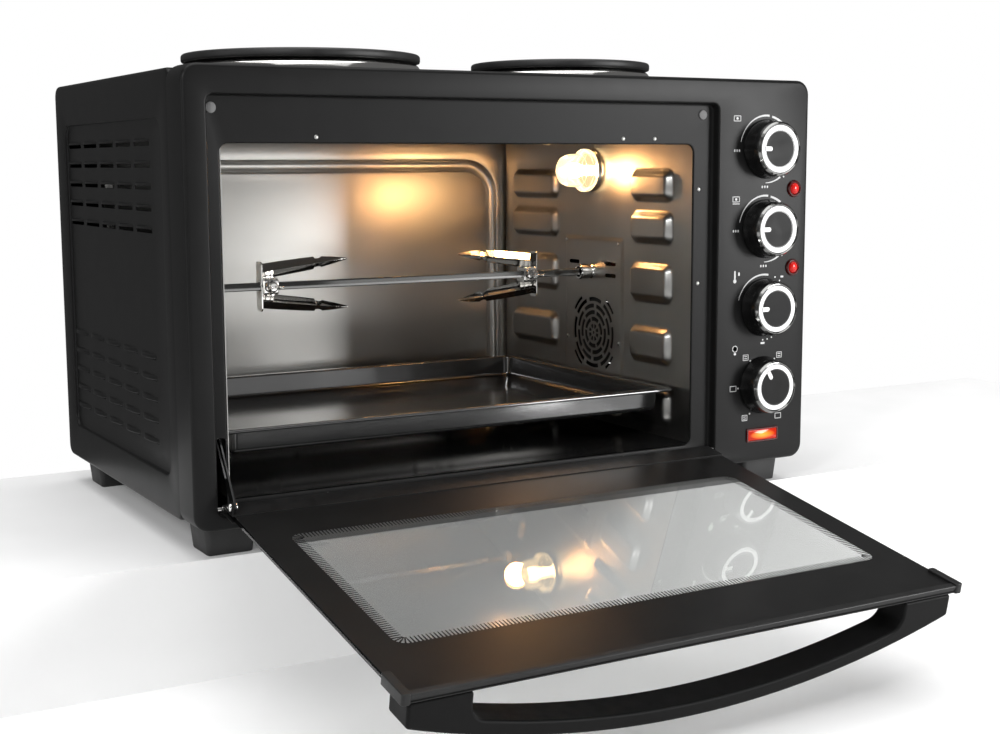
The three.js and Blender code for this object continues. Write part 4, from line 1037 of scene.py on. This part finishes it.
def door_glass():
    """A clear pane with ground edges, and its printed black border that ends in a comb of fine lines."""
    stations = [grown(PANE, d, h) for d, h in ((-1, PANE_UNDER), (0, PANE_UNDER + 1), (0, PANE_TOP - 1),
                                               (-1, PANE_TOP))]
    piece("door_pane", shell(stations, "z", 4, caps=(0, -1)), "door_glass", "door_glass", True, on_door,
          sharp=25)
    low, high = PANE_TOP + 0.02, PANE_TOP + 0.14
    border = shell([grown(PANE, -0.6, low), grown(PANE, -0.6, high), (*WINDOW, high), (*WINDOW, low)], "z",
                   joined=True)
    x0, x1, y0, y1, r = WINDOW

    def line(px, py, dx, dy):
        """A tapered line of print from the border's edge at (px, py) towards (dx, dy)."""
        ends = [(-0.4, 1, FRIT_LINE / 2), (FRIT_LENGTH, 1, FRIT_LINE / 4), (FRIT_LENGTH, -1, FRIT_LINE / 4),
                (-0.4, -1, FRIT_LINE / 2)]
        outline = [(px + dx * far - dy * sign * half, py + dy * far + dx * sign * half)
                   for far, sign, half in ends]
        prism(outline, low, high, "z", border)

    across = int((x1 - x0 - 2 * r) / FRIT_PITCH)
    for i in range(across + 1):
        x = x0 + r + (x1 - x0 - 2 * r) * i / across
        line(x, y0, 0, 1)
        line(x, y1, 0, -1)
    rows = int((y1 - y0 - 2 * r) / FRIT_PITCH)
    for i in range(rows + 1):
        y = y0 + r + (y1 - y0 - 2 * r) * i / rows
        line(x0, y, 1, 0)
        line(x1, y, -1, 0)
    corners = ((x1 - r, y1 - r, 0), (x0 + r, y1 - r, 90), (x0 + r, y0 + r, 180), (x1 - r, y0 + r, 270))
    for cx, cy, start in corners:
        for i in range(1, 4):
            t = radians(start + 22.5 * i)
            line(cx + r * cos(t), cy + r * sin(t), -cos(t), -sin(t))
    piece("door_glass_border", border, "glass_black", "door_glass", place=on_door, sharp=40)


def door_rails():
    """The folded rail and corner caps of the free edge, and the heel rail with the check link's ear."""
    inner, outer, n, turn = DOOR_INNER, DOOR_OUTER, DOOR_LENGTH, 1.2
    outline = [(-n + 9, outer), (-n + 9, outer + 0.6), (-n + 1.4, outer + 0.6), (-n + 1.4, inner - 0.6),
               (-n + 5.2, inner - 0.6), (-n + 5.2, inner)]
    outline += [(-n + turn * (1 - cos(t)), inner - turn * (1 - sin(t))) for t in reversed(arc_steps(4))]
    outline += [(-n + turn * (1 - sin(t)), outer + turn * (1 - cos(t))) for t in arc_steps(4)]
    piece("free_edge_rail", prism(outline, DOOR_LEFT, DOOR_RIGHT, "x"), "black_plastic",
          "door_top_rail", True, on_door)
    caps = bmesh.new()
    length, width, proud, rise = 28, 5.5, 0.8, 1.3
    for x0, x1 in ((DOOR_LEFT - proud, DOOR_LEFT + width), (DOOR_RIGHT - width, DOOR_RIGHT + proud)):
        rect = (x0, x1, -n - proud, -n + length, 2)
        shell([(*rect, outer - 0.3), (*rect, inner + rise)], "z", 5, caps=(0, 1), bm=caps)
    piece("corner_caps", caps, "black_plastic", "door_top_rail", place=on_door, bevel=0.7, segments=3)
    heel = prism([(-20, outer), (-20, PANE_UNDER - 0.05), (-2.2, PANE_UNDER - 0.05), (-2.2, PANE_TOP + 0.2),
                  (-20, PANE_TOP + 0.2), (-20, inner), (1.5, inner), (1.5, outer)],
                 DOOR_LEFT, DOOR_RIGHT, "x")
    bores = bmesh.new()
    for x0, x1 in ((DOOR_LEFT - 1, DOOR_LEFT + 8), (DOOR_RIGHT - 8, DOOR_RIGHT + 1)):
        bore(1.75, x0, x1, "x", (0, 0, 0), 20, bores)
    piece("heel_rail", heel, "black_plastic", "door_bottom_rail", True, on_door, bevel=0.5, holes=bores)
    x0, x1 = LINK_X - 1.5, LINK_X - 0.3
    y, z = LINK_PIVOT
    outline = [(y - 4, inner - 0.5), (y - 4, z)]
    outline += [(y - 4 * cos(pi * i / 10), z + 4 * sin(pi * i / 10)) for i in range(1, 11)]
    outline += [(y + 4, inner - 0.5)]
    piece("heel_rail_ear", prism(outline, x0, x1, "x"), "black_paint", "door_bottom_rail", place=on_door,
          bevel=0.25, holes=bore(1.9, x0 - 1, x1 + 1, "x", (0, y, z), 24))


HANDLE_X, HANDLE_HALF, HANDLE_POST, HANDLE_DEPTH, HANDLE_BOW, HANDLE_BAR = -42, 212, 43, 20, 34.5, 10
HANDLE_FRONT, HANDLE_BACK, HANDLE_SEAT, HANDLE_FILLET = -290, -265.5, -4.0, 12


def handle():
    """A bow handle in one piece: flat end posts, a curved bar between them, and round inner corners."""
    c, w, seat, fillet, steps = HANDLE_X, HANDLE_HALF, HANDLE_SEAT, HANDLE_FILLET, 40
    reach = w - HANDLE_POST
    radius = (w * w + HANDLE_BOW * HANDLE_BOW) / (2 * HANDLE_BOW)
    middle = -HANDLE_DEPTH - HANDLE_BOW + radius
    hollow = radius - HANDLE_BAR
    outer_angle = asin(w / radius)
    inner_angle = asin((reach - fillet) / (hollow - fillet))
    cz = middle - sqrt((hollow - fillet) ** 2 - (reach - fillet) ** 2)
    turns = [(pi / 2 - inner_angle) * i / 6 for i in range(7)]

    def arc(r, angles):
        return [(c + r * sin(a), middle - r * cos(a)) for a in angles]

    outline = [(c - w, seat), *arc(radius, [outer_angle * (2 * i / steps - 1) for i in range(steps + 1)]),
               (c + w, seat), (c + reach, seat)]
    outline += [(c + reach - fillet + fillet * cos(t), cz - fillet * sin(t)) for t in turns]
    outline += arc(hollow, [inner_angle * (1 - 2 * i / steps) for i in range(1, steps)])
    outline += [(c - reach + fillet - fillet * cos(t), cz - fillet * sin(t)) for t in reversed(turns)]
    outline += [(c - reach, seat)]
    piece("bow_handle", prism(outline, HANDLE_FRONT, HANDLE_BACK, "y"), "handle_black", "door_handle", True,
          on_door, 2.2, 4, 50)


LINK_RISE, LINK_LENGTH, LINK_HALF, LINK_THICK = 0.951, 62, 3.8, 1.5
RIVET = [(0, -3.8), (1.6, -3.7), (2.7, -3.2), (3, -2.6), (3, -1.9), (1.6, -1.9), (1.6, 1.9), (3, 1.9),
         (3, 2.3), (2.7, 2.8), (1.6, 3.1), (0, 3.2)]


def link():
    """The flat check link, its edges softened, with the rivet that joins it to the door."""
    y, z = LINK_PIVOT
    c, s = cos(DOOR_TILT), sin(DOOR_TILT)
    pivot_y, pivot_z = y * c - z * s, y * s + z * c

    def on_link(x, y, z):
        c, s = cos(LINK_RISE), sin(LINK_RISE)
        return at(x, HINGE_Y + pivot_y + y * c - z * s, HINGE_Z + pivot_z + y * s + z * c)

    ends = [pi * i / 12 for i in range(13)]
    wide = LINK_HALF + 2
    outline = [(LINK_LENGTH + wide * sin(t), -wide * cos(t)) for t in ends]
    outline += [(-LINK_HALF * sin(t), LINK_HALF * cos(t)) for t in ends]
    x0, x1 = LINK_X - 1, LINK_X + 3
    track = prism(rounded(22, LINK_LENGTH, -2, 2, 1.9, 5), x0, x1, "x")
    bore(1.9, x0, x1, "x", (0, 0, 0), 24, track)
    piece("check_link", prism(outline, LINK_X, LINK_X + LINK_THICK, "x"), "link_steel", "door_link", True,
          on_link, 0.35, 3, holes=track)
    rivet = lathe([(r, LINK_X + h) for r, h in RIVET], "x", (0, y, z), 28, False)
    piece("rivet", rivet, "chrome", "link_rivet", True, on_door, sharp=40)


# ---- feet and small fixed pieces ---------------------------------------------------------------
SOLE, FOOT_HEIGHT, FOOT_EDGE = 35, 21.8, 264.7
FEET = (("foot_front_left", -1, 18.4), ("foot_front_right", 1, 18.4), ("foot_rear_left", -1, 295),
        ("foot_rear_right", 1, 295))


def foot(name, side, y0):
    """A tapered rubber foot with softened edges and a short neck up to the base."""
    h = FOOT_HEIGHT
    x0, x1 = sorted((side * FOOT_EDGE, side * (FOOT_EDGE - SOLE)))
    rect = (x0, x1, y0, y0 + SOLE, 3)
    profile = ((-1.2, 0.0), (-0.3, 0.4), (0.05, 1.4), (2.3, h - 1.4), (2.2, h - 0.4), (1.2, h))
    bm = shell([grown(rect, d, z) for d, z in profile], "z", 4, caps=(0, -1))
    inset = (SOLE - 12) / 2
    neck = (x0 + inset, x1 - inset, y0 + inset + 4, y0 + inset + 16, 2)
    shell([(*neck, h - 0.6), (*neck, h + 1.9)], "z", 4, caps=(0, -1), bm=bm)
    piece(name + "_block", bm, "rubber", name, True, sharp=40)


BUMPER = [(0, -1.0), (3.2, -1.0), (3.8, -0.7), (4, -0.2), (4, 0), (0, 0)]
GLAND_NUT = [(3.5, 0.5), (10, 0.5), (10, 2.2), (9.4, 3), (7, 3.6), (6.6, 5), (6.4, 7), (5.6, 7.4), (6.1, 8.2),
             (5.9, 10), (5.2, 10.4), (5.6, 11.2), (5.4, 13.6), (5, 14), (3.5, 14)]


def small_pieces():
    """The door's rubber bumpers and the cord's gland."""
    for name, x in (("bumper_left", -256.7), ("bumper_right", 171)):
        pad = lathe(BUMPER, "y", (x, 8.0, 321), 28, False)
        piece(name + "_pad", pad, "grey_rubber", name, True)
    gland = lathe(GLAND_NUT, "y", GLAND, 40)
    lathe([(0, -6), (6.5, -6), (6.5, 0.7), (0, 0.7)], "y", GLAND, 32, False, gland)
    piece("gland_body", gland, "black_plastic", "cable_gland", True)


make_stage()
finish_nodes()
front_frame()
side_panel("left_side_panel", -1)
side_panel("right_side_panel", 1)
top_cover()
back_panel()
cavity()
cavity_roof()
cavity_floor()
lamp()
spit()
fork("fork_left", -157, 1)
fork("fork_right", 94, -1)
tray()
panel_print()
for name in KNOB_Z:
    knob(name)
lenses()
hotplates()
door_glass()
door_rails()
handle()
link()
for name, side, y0 in FEET:
    foot(name, side, y0)
small_pieces()
